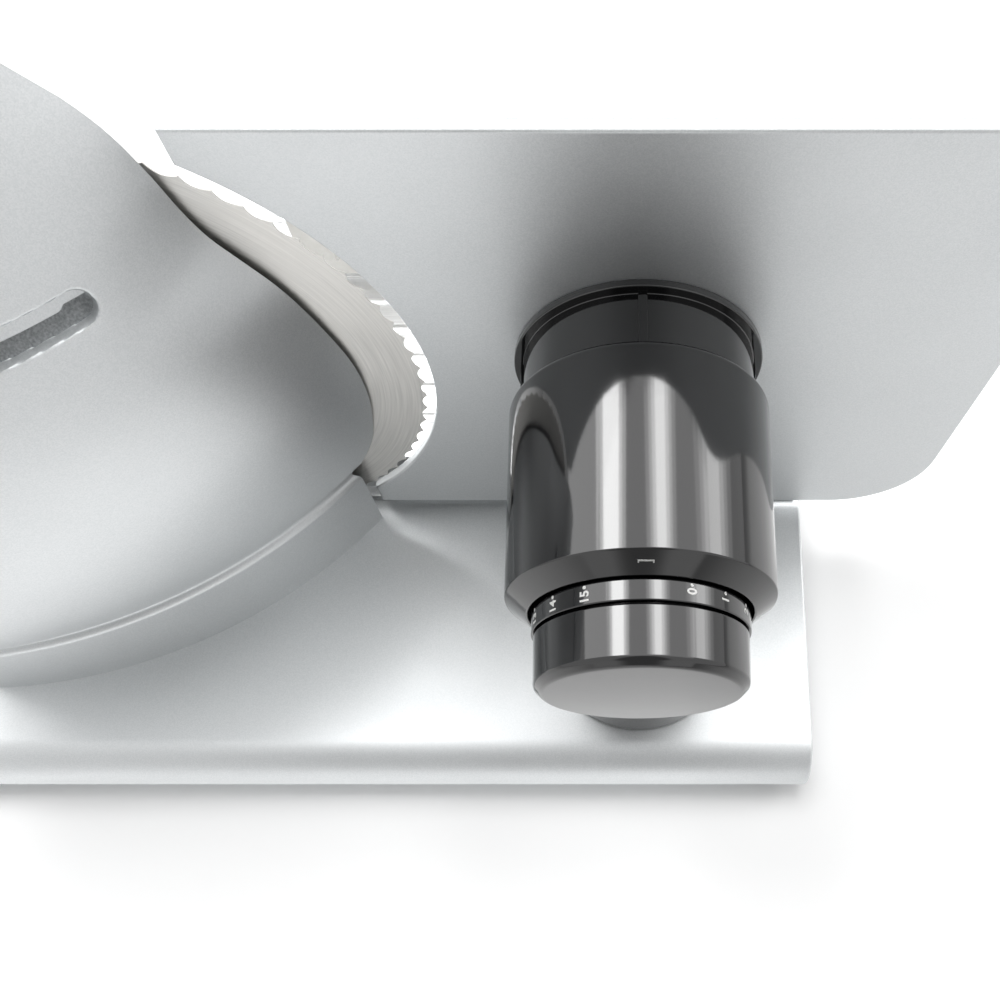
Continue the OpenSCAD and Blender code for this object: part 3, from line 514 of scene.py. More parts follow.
# %% Profile of the housing wall
house_low, house_high = box_mm("housing_shell")
left, blade_side, ceiling = house_low.x, house_high.y, house_high.z
AXIS = Vector((base_low.x + 9.9, base_low.y + 238.1, 0))
BULGE_R, BULGE_MID, BULGE_Z = 178.0, 35.6, base_high.z + 96.5
SKIRT_R, SHOULDER_Z = 203.0, base_high.z + 36.0
SUNK, SUNK_RISE = 2.2, 34  # how deep the bulge starts, and over what rise it comes out
TOP_EDGE, LEFT_EDGE = 14.0, 16.0
GROOVE_Z = base_high.z + 164.5
ROW, CLOSE_ROW = 2.5, 0.4


def wall_radius(z):
    """Distance of the bulged wall from the axis."""
    return BULGE_MID + sqrt(BULGE_R ** 2 - (z - BULGE_Z) ** 2)


profile = rounded([(SKIRT_R, base_high.z), (SKIRT_R, SHOULDER_Z - 1, 2.6), (SKIRT_R - 2.4, SHOULDER_Z, 1.2),
                   (SKIRT_R - 1.6, SHOULDER_Z + 5)], 8)
z = SHOULDER_Z + 8
while z < ceiling - TOP_EDGE - 3:
    sunk = SUNK * max(0.0, 1 - (z - SHOULDER_Z) / SUNK_RISE) ** 2
    profile.append((wall_radius(z) - sunk, z))
    z += CLOSE_ROW if abs(z - GROOVE_Z - 2) < 10 else ROW
reach, rise = BULGE_R - TOP_EDGE, ceiling - TOP_EDGE - BULGE_Z
edge_r = BULGE_MID + sqrt(reach ** 2 - rise ** 2)
profile += arc_points((edge_r, ceiling - TOP_EDGE), TOP_EDGE, degrees(asin(rise / reach)), 90, 10)
print("housing wall:", len(profile), "points up its height")

# %% [markdown]
# Towards the blade the wall gives way, so that its edge follows the blade's rim. The depth was measured
# at a few heights, and a smooth curve is laid through these places.

# %% Edge of the wall beside the blade
RIM = [(20, 0), (62, 0), (92, 0.7), (106, 0.7), (124, 1.5), (141, 3.6), (159, 5.9), (170, 8.2), (178, 9.4),
       (187, 8.4), (198, 5.4), (212, 1.5), (226, 0), (260, 0)]  # (height, inward step)
RIM_START, NEAR_BLADE, NEAR_RISE = 62, 1.5, 20
DENT_POWER = 5


def ease(t):
    """From 0 to 1 with a soft start and a soft end."""
    t = min(1.0, max(0.0, t))
    return (3 - 2 * t) * t * t


def give_way(z):
    """Inward step of the wall's edge at this height: a smooth curve through the places in RIM."""
    z = max(z, RIM_START)
    i = max(k for k in range(1, len(RIM) - 2) if RIM[k][0] <= z)
    (z0, a), (z1, b), (z2, c), (z3, d) = RIM[i - 1:i + 3]
    t = (z - z1) / (z2 - z1)
    slope_b, slope_c = (c - a) / (z2 - z0) * (z2 - z1), (d - b) / (z3 - z1) * (z2 - z1)
    return ((2 * t ** 3 - 3 * t ** 2 + 1) * b + (t ** 3 - 2 * t ** 2 + t) * slope_b
            + (3 * t ** 2 - 2 * t ** 3) * c + (t ** 3 - t ** 2) * slope_c)


def dent(z, share):
    """Inward step at a share of the way along the bulge, most of it close to the edge."""
    return give_way(z) * share ** DENT_POWER


def edge_y(z):
    """Where the wall ends: above the foot it comes close to the blade."""
    return blade_side + (blade_low.y - NEAR_BLADE - blade_side) * ease((z - RIM_START) / NEAR_RISE)


print("the edge gives way by up to", max(step for _, step in RIM), "mm")

# %% [markdown]
# A long groove with round ends is pressed into the wall. It falls a little to the right, and its lip is
# rounded, so that the light draws its outline. A boolean cut would give it a hard edge.

# %% Groove
GROOVE_FROM, GROOVE_TO, GROOVE_MID = -80.0, -51.6, -57  # angles about the wall's axis
GROOVE_HALF, GROOVE_DEEP, LIP, FLANK = 4.2, 3.0, 0.9, 0.4
GROOVE_FALL = 0.25  # mm that the groove sinks in each degree to the right
groove_r = wall_radius(GROOVE_Z)
groove_tilt = asin((GROOVE_Z - BULGE_Z) / BULGE_R)
groove_long = radians(GROOVE_TO - GROOVE_FROM) * groove_r


def groove_z(angle):
    """Height of the groove's middle line."""
    return GROOVE_Z - GROOVE_FALL * (angle - GROOVE_MID)


def past_ends(along):
    """How far a place lies past the ends of the groove's middle line."""
    return along - min(max(along, 0), groove_long)


def groove_depth(angle, z):
    """How far the wall is pressed in at this place."""
    beyond = past_ends(radians(angle - GROOVE_FROM) * groove_r)
    off = sqrt(beyond ** 2 + ((z - groove_z(angle)) / cos(groove_tilt)) ** 2) - GROOVE_HALF
    if off > LIP:
        return 0.0
    if off > 0:
        return LIP - sqrt(LIP ** 2 - (LIP - off) ** 2)
    return LIP + min(1.0, -off / FLANK) * (GROOVE_DEEP - LIP)


print("groove:", round(groove_long), "mm long")

# %% [markdown]
# Each level of the wall is a path seen from above: from the blade's plane along the left end, round its
# corner, and along the bulge back to the blade's plane.

# %% Levels of the wall
END_STEPS, CORNER_STEPS, BULGE_STEPS = 6, 12, 400
shares = [k / BULGE_STEPS for k in range(BULGE_STEPS + 1)]
shares = [t for k, t in enumerate(shares) if 0.16 < t < 0.88 or k % 4 == 0]  # close steps along the groove


def bulge_span(r, z, inset):
    """The middle of a level's left corner, and the angles at which its bulge begins and ends."""
    corner_x = left + LEFT_EDGE
    middle = Vector((corner_x, AXIS.y - sqrt((r - LEFT_EDGE + inset) ** 2 - (corner_x - AXIS.x) ** 2)))
    away = (middle - AXIS.xy).normalized()
    edge_r, depth = r - give_way(z), AXIS.y - edge_y(z)
    return middle, degrees(atan2(away.y, away.x)), -degrees(acos(sqrt(edge_r ** 2 - depth ** 2) / edge_r))


def wall_level(r, z, inset):
    """One level of the wall, as places in space."""
    middle, first, last = bulge_span(r, z, inset)
    path = [(left + inset, blade_side + (middle.y - blade_side) * k / END_STEPS, z) for k in range(END_STEPS)]
    path += [(x, y, z) for x, y in arc_points(middle, LEFT_EDGE - inset, 180, first + 360, CORNER_STEPS)]
    for t in shares[1:]:
        angle = first + (last - first) * t
        deep = groove_depth(angle, z)
        bent = r - dent(z, t) - deep * cos(groove_tilt)
        path.append((AXIS.x + bent * cos(radians(angle)), AXIS.y + bent * sin(radians(angle)),
                     z - deep * sin(groove_tilt)))
    return path


print("each level has", len(wall_level(*profile[0], 0)), "points")

# %% [markdown]
# An inner copy, one wall thickness further in, makes it a real shell that is open below and behind. Its
# left end has holes for the rocker switch, the push button and the cord's gland.

# %% Housing shell
WALL, THROUGH = 3.0, 9
ROCKER_HALF, ROCKER_PLAY, PRESS_R, GLAND_R = 7.6, 2.4, 8.4, 6.1


def bridge(bm, rows, closed=False):
    """Faces between rows of points; closed joins the two ends of each row."""
    for low, high in zip(rows, rows[1:]):
        for k in range(len(low) if closed else len(low) - 1):
            n = (k + 1) % len(low)
            bm.faces.new((low[k], low[n], high[n], high[k]))


def round_hole(place, r):
    """A cutter for a round hole in the left end."""
    return turned([(0, left - THROUGH), (r, left - THROUGH), (r, left + THROUGH), (0, left + THROUGH)],
                  place, 48, axis="X")


shell = bmesh.new()
borders = []
for inset in (0, WALL):
    levels = [wall_level(r - inset, min(z, ceiling - inset), inset) for r, z in profile]
    grid = [[shell.verts.new(place) for place in level] for level in levels]
    bridge(shell, grid)
    shell.faces.new(grid[-1])
    borders.append(grid[0] + [row[-1] for row in grid[1:]] + [row[0] for row in grid[:0:-1]])
bridge(shell, borders, True)

switch_low, switch_high = box_mm("rocker_switch")
press, inlet = (sum(box_mm(node), Vector()) / 2 for node in ("push_button", "inlet_gland"))
rocker_hole = brick((left - THROUGH, press.y - ROCKER_HALF, switch_low.z - ROCKER_PLAY),
                    (left + THROUGH, press.y + ROCKER_HALF, switch_high.z + ROCKER_PLAY))
shell = carve(outward(shell), rocker_hole, round_hole(press, PRESS_R), round_hole(inlet, GLAND_R))
piece("housing_wall", shell, "housing_shell", 40)

# %% [markdown]
# A speckled strip lies in the lower half of the groove and rounds its right end. Its darker grey is painted
# shade for the groove's shaded lower side. It is a sheet of its own, a hair above the groove's floor, so that
# it can take this other material.

# %% Floor of the groove
STRIP_STEPS, STRIP_PARTS = 120, 4
STRIP_MARGIN, STRIP_LIFT = 0.35, 0.06
UPPER_SHARE, TURN_FROM, TURN_LONG = 0.1, 4, 5  # how far the strip reaches up, and where it fills the end
half = GROOVE_HALF - STRIP_MARGIN
out = STRIP_LIFT - GROOVE_DEEP
floor_strip = bmesh.new()
rows = []
for k in range(STRIP_STEPS + 1):
    along = -half + (groove_long + 2 * half) * k / STRIP_STEPS
    wide = sqrt(max(0.0025, half ** 2 - past_ends(along) ** 2))
    a = radians(GROOVE_FROM) + along / groove_r
    mid_z = groove_z(degrees(a))
    mid_r = wall_radius(mid_z)
    _, begin, end = bulge_span(mid_r, mid_z, 0)
    mid_r -= dent(mid_z, (degrees(a) - begin) / (end - begin))
    reach = UPPER_SHARE + (1 - UPPER_SHARE) * ease((along - groove_long + TURN_FROM) / TURN_LONG)
    row = []
    for j in range(STRIP_PARTS + 1):
        across = wide * ((1 + reach) * j / STRIP_PARTS - 1)
        r = mid_r - across * sin(groove_tilt) + out * cos(groove_tilt)
        row.append(floor_strip.verts.new((AXIS.x + r * cos(a), AXIS.y + r * sin(a),
                                          mid_z + across * cos(groove_tilt) + out * sin(groove_tilt))))
    rows.append(row)
bridge(floor_strip, rows[::-1])
# the strip's darker grey is painted shade in the groove
piece("groove_floor", floor_strip, "groove_liner", 60, speckled_painted_shade)

# %% [markdown]
# ## Patterns
# Two node trees make everything that repeats. The first sets copies of a mesh around an axis, for the
# blade's teeth and the dots of the scale. The second sets copies in rows, for ribs and spikes. Copies made
# by hand would look the same, but a tree keeps its count and step, which can be changed later.


# %% Start and end of a pattern tree
def tree_with(name, sockets):
    """A geometry tree with a mesh in and out and the named inputs."""
    tree = bpy.data.node_groups.new(name, "GeometryNodeTree")
    tree.interface.new_socket("Mesh", in_out="INPUT", socket_type="NodeSocketGeometry")
    for label, kind in sockets:
        tree.interface.new_socket(label, in_out="INPUT", socket_type="NodeSocket" + kind)
    tree.interface.new_socket("Mesh", in_out="OUTPUT", socket_type="NodeSocketGeometry")
    return tree, add(tree, "NodeGroupInput").outputs


def end_tree(tree, instances, given):
    """Make the copies real, join their seams, set the material and hand the mesh out."""
    real = add(tree, "GeometryNodeRealizeInstances", None, Geometry=instances).outputs[0]
    joined = add(tree, "GeometryNodeMergeByDistance", None, Geometry=real, Distance=2e-6).outputs[0]
    painted = add(tree, "GeometryNodeSetMaterial", None, Geometry=joined, Material=given["Material"]).outputs[0]
    add(tree, "NodeGroupOutput", None, Mesh=painted)


# %% Pattern trees
around, given = tree_with("copies_around_axis", [
    ("Count", "Int"), ("Step", "Float"), ("Start", "Float"), ("Centre", "Vector"), ("Axis", "Vector"),
    ("Material", "Material")])
points = add(around, "GeometryNodePoints", None, Count=given["Count"], Position=given["Centre"]).outputs[0]
number = add(around, "GeometryNodeInputIndex").outputs[0]
angle = maths(around, "MULTIPLY_ADD", number, given["Step"], given["Start"])
spin = add(around, "FunctionNodeAxisAngleToRotation", None, Axis=given["Axis"], Angle=angle).outputs[0]
to_centre = times(around, given["Centre"], -1.0)
home = add(around, "GeometryNodeTransform", None, Geometry=given["Mesh"], Translation=to_centre).outputs[0]
copies = add(around, "GeometryNodeInstanceOnPoints", None, Points=points, Instance=home, Rotation=spin).outputs[0]
end_tree(around, copies, given)

in_rows, given = tree_with("copies_in_rows", [
    ("Count", "Int"), ("Rows", "Int"), ("Step", "Vector"), ("Row Step", "Vector"), ("Material", "Material")])
total = maths(in_rows, "MULTIPLY", given["Count"], given["Rows"])
number = add(in_rows, "GeometryNodeInputIndex").outputs[0]
row = maths(in_rows, "FLOOR", maths(in_rows, "DIVIDE", number, given["Count"]))
place = maths(in_rows, "MODULO", number, given["Count"])
spot = vectors(in_rows, "ADD", times(in_rows, given["Step"], place), times(in_rows, given["Row Step"], row))
points = add(in_rows, "GeometryNodePoints", None, Count=total, Position=spot).outputs[0]
copies = add(in_rows, "GeometryNodeInstanceOnPoints", None, Points=points, Instance=given["Mesh"]).outputs[0]
end_tree(in_rows, copies, given)


def repeated(bm, tree, **inputs):
    """Run a pattern tree on a mesh drawn in millimetres and give back a mesh in metres."""
    bmesh.ops.scale(bm, vec=(MM,) * 3, verts=bm.verts)
    source = linked(bm)
    step = source.modifiers.new("pattern", "NODES")
    step.node_group = tree
    for item in tree.interface.items_tree:
        label = item.name.replace(" ", "_")
        if item.in_out == "INPUT" and label in inputs:
            step[item.identifier] = inputs[label]
    source.update_tag()
    made = evaluated(source)
    discard(source)
    return made


print("pattern trees:", around.name, in_rows.name)

# %% [markdown]
# ## Blade
# The rim has 80 hollows with points between them. One tooth is drawn as a wedge of the disc, flat within
# and ground thin at the rim, and the first tree sets it 80 times around the shaft.

# %% Blade
TEETH, TOOTH_DEEP, TOOTH_STEPS = 80, 1.6, 14
BORE, FLAT_R, GRIND_R, EDGE_T = 4.1, 60.0, BLADE_R - 9, 0.35
near, far = blade_low.y, blade_high.y
flank = [(BORE, far, 0), (FLAT_R, far, 0), (GRIND_R, far, 0), (BLADE_R, near + EDGE_T, 1), (BLADE_R, near, 1),
         (GRIND_R, near, 0), (FLAT_R, near, 0), (BORE, near, 0)]  # radius, level, share of the hollow
tooth = bmesh.new()
rings = []
for k in range(TOOTH_STEPS + 1):
    across = 2 * k / TOOTH_STEPS - 1
    a = pi / TEETH * across
    worn = TOOTH_DEEP * (1 - across ** 2)
    reach = [(r - share * worn, y) for r, y, share in flank]
    rings.append([tooth.verts.new((BLADE.x + r * cos(a), y, BLADE.z + r * sin(a))) for r, y in reach])
bridge(tooth, rings, True)
disc = repeated(outward(tooth), around, Count=TEETH, Step=2 * pi / TEETH, Start=0.0, Centre=tuple(BLADE * MM),
                Axis=(0.0, 1.0, 0.0), Material=blade_steel)
whole = bmesh.new()
whole.from_mesh(disc)
outward(whole).to_mesh(disc)
whole.free()
settle("toothed_blade", disc, "blade", 20)

# %% [markdown]
# ## Gauge plate
# The plate sets the thickness: the food leans on it before it meets the blade. Its outline is an arc round
# the blade on the left, rounded corners on the right, and straight edges between. Its lower left corner
# stays clear of the housing's foot. An outline is enough, because the plate is flat.

# %% Gauge plate
GUARD_R, PLATE_CORNER, TIP_ANGLE = BLADE_R + 2.7, 32.0, 57.0
arc_low = BLADE.x + GUARD_R * cos(radians(TIP_ANGLE))
lower_x = AXIS.x + sqrt(SKIRT_R ** 2 - (AXIS.y - blade_side) ** 2) + 1.2
start = -degrees(acos((lower_x - BLADE.x) / GUARD_R))
outline = [(lower_x, plate_low.z)] + arc_points((BLADE.x, BLADE.z), GUARD_R, start, TIP_ANGLE, 90)
outline += [(arc_low, plate_high.z)]
for z, first in ((plate_high.z - PLATE_CORNER, 90), (plate_low.z + PLATE_CORNER, 0)):
    outline += arc_points((plate_high.x - PLATE_CORNER, z), PLATE_CORNER, first, first - 90, 24)
piece("gauge_sheet", cut(outline, plate_low.y, plate_high.y, 0.9), "gauge_plate")

# %% [markdown]
# Behind the plate a black neck slides in the control body. Three key ribs keep it from turning. The neck
# is turned, and the ribs are small blocks that are set on it.

# %% Neck of the gauge plate
sleeve_low, sleeve_high = box_mm("plate_sleeve")
FLANGE_R, FLANGE_T, NECK_R, NECK_BORE = 37.7, 2.2, 34.8, 31.8
KEY_HALF, KEY_ROOT, KEY_TIP = 1.3, NECK_R - 0.5, NECK_R + 0.97
flange_y = sleeve_high.y - FLANGE_T
neck = turned(rounded([(NECK_BORE, sleeve_high.y), (FLANGE_R, sleeve_high.y, 0.3), (FLANGE_R, flange_y, 0.4),
                       (NECK_R, flange_y, 0.3), (NECK_R, sleeve_low.y, 0.4), (NECK_BORE, sleeve_low.y)], 5),
              DIAL, 192, True)
for turn_deg in (0, 90, 180):
    key = cut([(-KEY_HALF, KEY_ROOT), (KEY_HALF, KEY_ROOT), (KEY_HALF, KEY_TIP), (-KEY_HALF, KEY_TIP)],
              sleeve_low.y + 0.3, flange_y + 0.1, 0)
    soften(key, key.edges[:], 0.25, 2)
    bmesh.ops.rotate(key, cent=(0, 0, 0), matrix=Matrix.Rotation(radians(90 - turn_deg), 3, "Y"), verts=key.verts)
    bmesh.ops.translate(key, vec=(DIAL.x, 0, DIAL.z), verts=key.verts)
    key_block = linked(key)
    neck.from_mesh(key_block.data)
    discard(key_block)
piece("ribbed_neck", neck, "plate_sleeve")

# %% [markdown]
# ## Control body and column
# The body is a polished tube with a soft shoulder towards the plate and a bevel towards the dial. It
# stands on a round column, which is cut to the body's shape where they meet. Both are turned, because a
# turned skin has the even curve that long reflections need.

# %% Control body and column
BODY_R, BODY_T, OPENING_R, BEVEL = 38.8, 3.2, 32.0, 5.1
bevel_y = body_low.y + BEVEL
tube = turned(rounded([(BODY_R - BODY_T, body_high.y), (BODY_R, body_high.y, 2.5), (BODY_R, bevel_y, 0.7),
                       (OPENING_R, body_low.y, 0.5), (OPENING_R, bevel_y - 1.5), (BODY_R - BODY_T, bevel_y)], 8),
              DIAL, 256, True)
piece("control_tube", tube, "control_body")

column_low, column_high = box_mm("control_column")
COLUMN_R = (column_high.x - column_low.x) / 2
necked_r, joint_z = COLUMN_R - 1.2, column_low.z + 1.6
post = turned(rounded([(0, column_low.z), (necked_r, column_low.z), (necked_r, joint_z), (COLUMN_R, joint_z, 0.5),
                       (COLUMN_R, DIAL.z - 4), (0, DIAL.z - 4)], 4), (column_low + column_high) / 2, 192, axis="Z")
fit_r = BODY_R - 0.05
bore = turned([(0, -400), (fit_r, -400), (fit_r, 200), (0, 200)], DIAL, 256)
piece("control_post", carve(post, bore), "control_column")

# %% [markdown]
# ## Dial
# The grip is slightly conical with a shallow domed end, which gathers a soft light. Between it and the
# body a narrow ring carries the thickness scale. Both are turned from rounded profiles.

# %% Dial
_, ring_high = box_mm("dial_ring")
RING_R, RING_BORE, GRIP_R, GROOVE_R = 31.1, 26, 30.5, 28.5
FACE_R, FACE_RISE, DOME_STEPS = 26.6, 0.6, 14
ring_end = body_low.y - 5.5
band = turned(rounded([(RING_BORE, ring_high.y), (RING_R, ring_high.y), (RING_R, ring_end, 0.35),
                       (RING_BORE, ring_end)], 4), DIAL, 256, True)
piece("scale_ring", band, "dial_ring")

seat_y, grip_y, tip_y = ring_end + 0.02, ring_end - 0.6, grip_low.y
crown = (FACE_R ** 2 + FACE_RISE ** 2) / (2 * FACE_RISE)
swings = [asin(FACE_R / crown) * k / DOME_STEPS for k in range(DOME_STEPS, -1, -1)]
dome = [(crown * sin(t), tip_y + crown * (1 - cos(t))) for t in swings]
grip = rounded([(0, seat_y), (GROOVE_R, seat_y), (GROOVE_R, grip_y), (GRIP_R, grip_y, 0.5),
                (GRIP_R - 0.15, tip_y + 2.6, 1.8), (GRIP_R - 2.3, tip_y + FACE_RISE + 0.1, 2.2), dome[0]], 10)
piece("dial_knob", turned(grip + dome[1:], DIAL, 256), "dial_grip")

# %% [markdown]
# ## Print
# The scale has the numbers 0 to 15 and a dot for each, printed in white. An image could carry them, but
# text made into a mesh stays sharp close up. Each number is wrapped on the ring, so that it reads from the
# grip towards the body.

# %% Numbers of the scale
NUMBERS, FIRST, STEP = 16, 22.6, 20.5
CAP, CAP_SHARE, BOLD, INK = 2.5, 0.69, 0.09, 0.04  # height, its share of the font's size, weight, lift
DIGIT_END = body_low.y - 1.5
marks = bmesh.new()
for n in range(NUMBERS):
    words = bpy.data.curves.new("number", "FONT")
    words.body, words.align_x, words.size = str(n), "RIGHT", CAP / CAP_SHARE
    words.extrude, words.offset = 0.03, BOLD
    holder = bpy.data.objects.new("number", words)
    scene.collection.objects.link(holder)
    flat = evaluated(holder)
    middle = (min(v.co.y for v in flat.vertices) + max(v.co.y for v in flat.vertices)) / 2
    for v in flat.vertices:
        along, up, lift = v.co
        a = radians(FIRST + STEP * n) - (up - middle) / RING_R
        r = RING_R + INK + lift
        v.co = (DIAL.x + r * sin(a), DIGIT_END + along, DIAL.z + r * cos(a))
    marks.from_mesh(flat)
    bpy.data.objects.remove(holder)
    bpy.data.curves.remove(words)
    bpy.data.meshes.remove(flat)
piece("scale_numbers", outward(marks), "dial_ring", 60, print_white, extra=True)

# %% [markdown]
# The dots are one small disc that the first tree sets around the dial. The mark on the body's bevel, which
# the scale is read against, is a flat outline that is tilted to lie on the bevel.

# %% Dots and pointer mark
DOT_Y, DOT_R, DOT_T = body_low.y - 0.7, 0.5, 0.04
MARK = [(-2.1, 0.25), (-2.1, -0.6), (-1.75, -0.6), (-1.75, -0.15),
        (1.75, -0.15), (1.75, -0.6), (2.1, -0.6), (2.1, 0.25)]
MARK_SHARE = 0.42  # of the way down the bevel
dot_z = DIAL.z + RING_R + INK
dot = cut(arc_points((DIAL.x, DOT_Y), DOT_R, 0, 337.5, 15), dot_z, dot_z + DOT_T, 0, "Z")
dots = repeated(dot, around, Count=NUMBERS, Step=radians(STEP), Start=radians(FIRST),
                Centre=(DIAL.x * MM, 0.0, DIAL.z * MM), Axis=(0.0, 1.0, 0.0), Material=print_white)
settle("scale_dots", dots, "dial_ring", material=print_white, extra=True)

pointer = cut(MARK, -0.02, 0.06, 0, "Z")
drop = BODY_R - OPENING_R
bmesh.ops.rotate(pointer, cent=(0, 0, 0), matrix=Matrix.Rotation(atan2(drop, BEVEL), 3, "X"), verts=pointer.verts)
bmesh.ops.translate(pointer, vec=(DIAL.x, bevel_y - BEVEL * MARK_SHARE, DIAL.z + BODY_R - drop * MARK_SHARE),
                    verts=pointer.verts)
piece("pointer_mark", pointer, "control_body", material=print_white, extra=True)

# %% [markdown]
# ## Food side
# The carriage carries the food past the blade. The end wall, the thumb guard and the pusher are moulded or
# pressed pieces. Their CAD solids have the right form, so they are taken over and their edges rounded.

# %% Carriage, pusher and guards
KEEN = 35  # degrees; sharper edges are rounded


def from_node(node, edge=0.0):
    """A copy of a CAD solid with its triangles joined into flat faces and its edges rounded."""
    bm = bmesh.new()
    bm.from_mesh(frame["nodes"][node].data)
    bmesh.ops.scale(bm, vec=(1 / MM,) * 3, verts=bm.verts)
    bmesh.ops.remove_doubles(bm, verts=bm.verts, dist=0.002)
    bmesh.ops.dissolve_limit(bm, angle_limit=radians(0.6), verts=bm.verts, edges=bm.edges)
    if edge:
        keen = [e for e in bm.edges if len(e.link_faces) == 2 and e.calc_face_angle(0) > radians(KEEN)]
        soften(bm, keen, edge, 2)
    return bm


plain = {  # node: (piece, edge)
    "blade_guard": ("guard_panel", 0.7), "guide_strip": ("plate_guide", 0.8), "rod_brackets": ("rod_holders", 0.8),
    "carriage_tray": ("food_tray", 0.6), "carriage_wall": ("tray_end_wall", 0.7),
    "carriage_frame": ("tray_carrier", 0.6), "carriage_shoes": ("tray_shoes", 0.5),
    "thumb_guard": ("thumb_shield", 1.2), "food_pusher": ("pusher_plate", 1.2),
    "pusher_clip": ("pusher_rider", 0.8), "rocker_switch": ("rocker_key", 0.5), "push_button": ("push_key", 0.6),
    "lock_screw": ("blade_lock_knob", 0.5), "inlet_gland": ("cord_inlet", 0.4), "base_feet": ("rubber_feet", 0.5)}
for node, (name, edge) in plain.items():
    piece(name, from_node(node, edge), node)

# %% [markdown]
# The housing's back wall fits inside the shell. Where the shell gives way to the blade, the back wall is
# drawn in with it.

# %% Back wall of the housing
PLAY = 0.4
back_wall = from_node("housing_back")
for v in back_wall.verts:
    limit = wall_radius(v.co.z) - WALL - PLAY - max(0.0, give_way(v.co.z))
    v.co.x = min(v.co.x, AXIS.x + sqrt(max(0.0, limit ** 2 - (v.co.y - AXIS.y) ** 2)))
piece("housing_back_wall", back_wall, "housing_back")

# %% [markdown]
# The tray has raised ribs along the travel, so that the food slides easily, and the pusher has short
# spikes that hold the food. One rib and one spike are drawn, and the second tree sets them in rows. The
# pusher's knob is turned.

# %% Ribs, spikes and knob
RIBS, RIB_GAP, RIB_HALF, RIB_RISE = 8, 13.0, 2.2, 0.95
tray_low, tray_high = box_mm("carriage_tray")
first_y = (tray_low.y + tray_high.y) / 2 - RIB_GAP * (RIBS - 1) / 2
hump = [(RIB_HALF * cos(a), RIB_RISE * sin(a)) for a in (pi / 8 * k for k in range(9))]
rib = cut([(y + first_y, z + tray_high.z - 0.05) for y, z in hump], tray_low.x + 8, tray_high.x - 9, 0, "X")
ribs = repeated(rib, in_rows, Count=RIBS, Rows=1, Step=(0.0, RIB_GAP * MM, 0.0), Row_Step=(0.0, 0.0, 0.0),
                Material=sheet_steel)
settle("tray_ribs", ribs, "carriage_tray", extra=True)

SPIKES, SPIKE_GAP, SPIKE_R = 5, 20.0, 2
spike_low, spike_high = box_mm("pusher_spikes")
corner = Vector((spike_low.x + SPIKE_R, 0, spike_low.z + SPIKE_R))
spike = turned(rounded([(0, spike_high.y), (SPIKE_R, spike_high.y), (0.5, spike_low.y + 0.4, 0.3),
                        (0, spike_low.y)], 4), corner, 24)
spikes = repeated(spike, in_rows, Count=SPIKES, Rows=2, Step=(SPIKE_GAP * MM, 0.0, 0.0),
                  Row_Step=(0.0, 0.0, SPIKE_GAP * MM), Material=white_abs)
settle("pusher_pins", spikes, "pusher_spikes")

handle_low, handle_high = box_mm("pusher_handle")
y = handle_low.y
knob = turned(rounded([(0, y), (8, y), (7, y + 5, 2), (13, y + 9, 2.5), (14, y + 12, 1.5), (12, y + 15, 2),
                       (7, y + 16.5, 3), (0, y + 17)], 5), (handle_low + handle_high) / 2, 96)
piece("pusher_knob", knob, "pusher_handle")

# %% [markdown]
# ## Everything inside
# The drive, the bearings and the thread keep their CAD shapes, because they are hidden. Each gets the
# material of its slot.

# %% Materials of the other solids
for node, slot in SLOT.items():
    solid = frame["nodes"][node]
    solid.data.materials.clear()
    solid.data.materials.append(MATERIAL[slot])
print(len(frame["nodes"]), "CAD solids have a material")

# %% [markdown]
# ## Table
# The slicer stands on a white table. Its white comes from its own glow towards the camera and not from more
# light, which would wash out the silver. The glow grows away from the slicer, and beside the base it is
# taken back: a painted contact shadow. Reflections see a glow too, less of it to the right.

# %% Table
TABLE_HALF = 4
GLOW_AT, GLOW = (0.3, 0.9), (0.42, 0.95)  # metres from the middle, glow towards the camera
SHEEN_AT, SHEEN = (0.1, 0.18), (0.7, 0.35)  # metres to the right, glow in reflections
SHADE_INSET, SHADE_WIDE, SHADE_GLOW = 0.006, 0.022, 0.1
ground = bmesh.new()
bmesh.ops.create_grid(ground, x_segments=2, y_segments=2, size=TABLE_HALF)
table = linked(ground, "table")
white, tree, shader = finish("white_table", "#f4f4f4", 0.0, 0.9, Specular_IOR_Level=0.0)
ray = add(tree, "ShaderNodeLightPath").outputs
spot = on_object(tree)
to_right = add(tree, "ShaderNodeSeparateXYZ", None, Vector=spot).outputs[0]
mirror = maths(tree, "MAXIMUM", ray["Is Glossy Ray"], ray["Is Transmission Ray"])
mirror = maths(tree, "MULTIPLY", mirror, remap(tree, to_right, *SHEEN_AT, *SHEEN))
bright = remap(tree, vectors(tree, "LENGTH", spot, out="Value"), *GLOW_AT, *GLOW)
mid, half = (base_low + base_high) * MM / 2, (base_high - base_low) * MM / 2
off = vectors(tree, "ABSOLUTE", vectors(tree, "SUBTRACT", spot, (mid.x, mid.y, 0.0)))
off = vectors(tree, "SUBTRACT", off, (half.x - SHADE_INSET, half.y - SHADE_INSET, 0.0))
gap = vectors(tree, "LENGTH", vectors(tree, "MAXIMUM", off, (0.0, 0.0, 0.0)), out="Value")
# painted contact shadow: the glow drops to SHADE_GLOW within SHADE_WIDE of the base's footprint
painted_contact_shadow = remap(tree, gap, 0.0, SHADE_WIDE, SHADE_GLOW, 1.0, "SMOOTHSTEP")
glow = maths(tree, "MULTIPLY_ADD", ray["Is Camera Ray"], maths(tree, "MULTIPLY", bright, painted_contact_shadow), mirror)
shader.inputs["Emission Color"].default_value = (1, 1, 1, 1)
feed(tree, shader, Emission_Strength=glow)
table.data.materials.append(white)
print("table", 2 * TABLE_HALF, "m wide")

# %% [markdown]
# ## Sky
# The camera sees a plain white sky. Reflections see it darker on the side where a viewer stands, which
# gives the black plastic and the silver their dark parts. As a light the sky only fills the shadows.

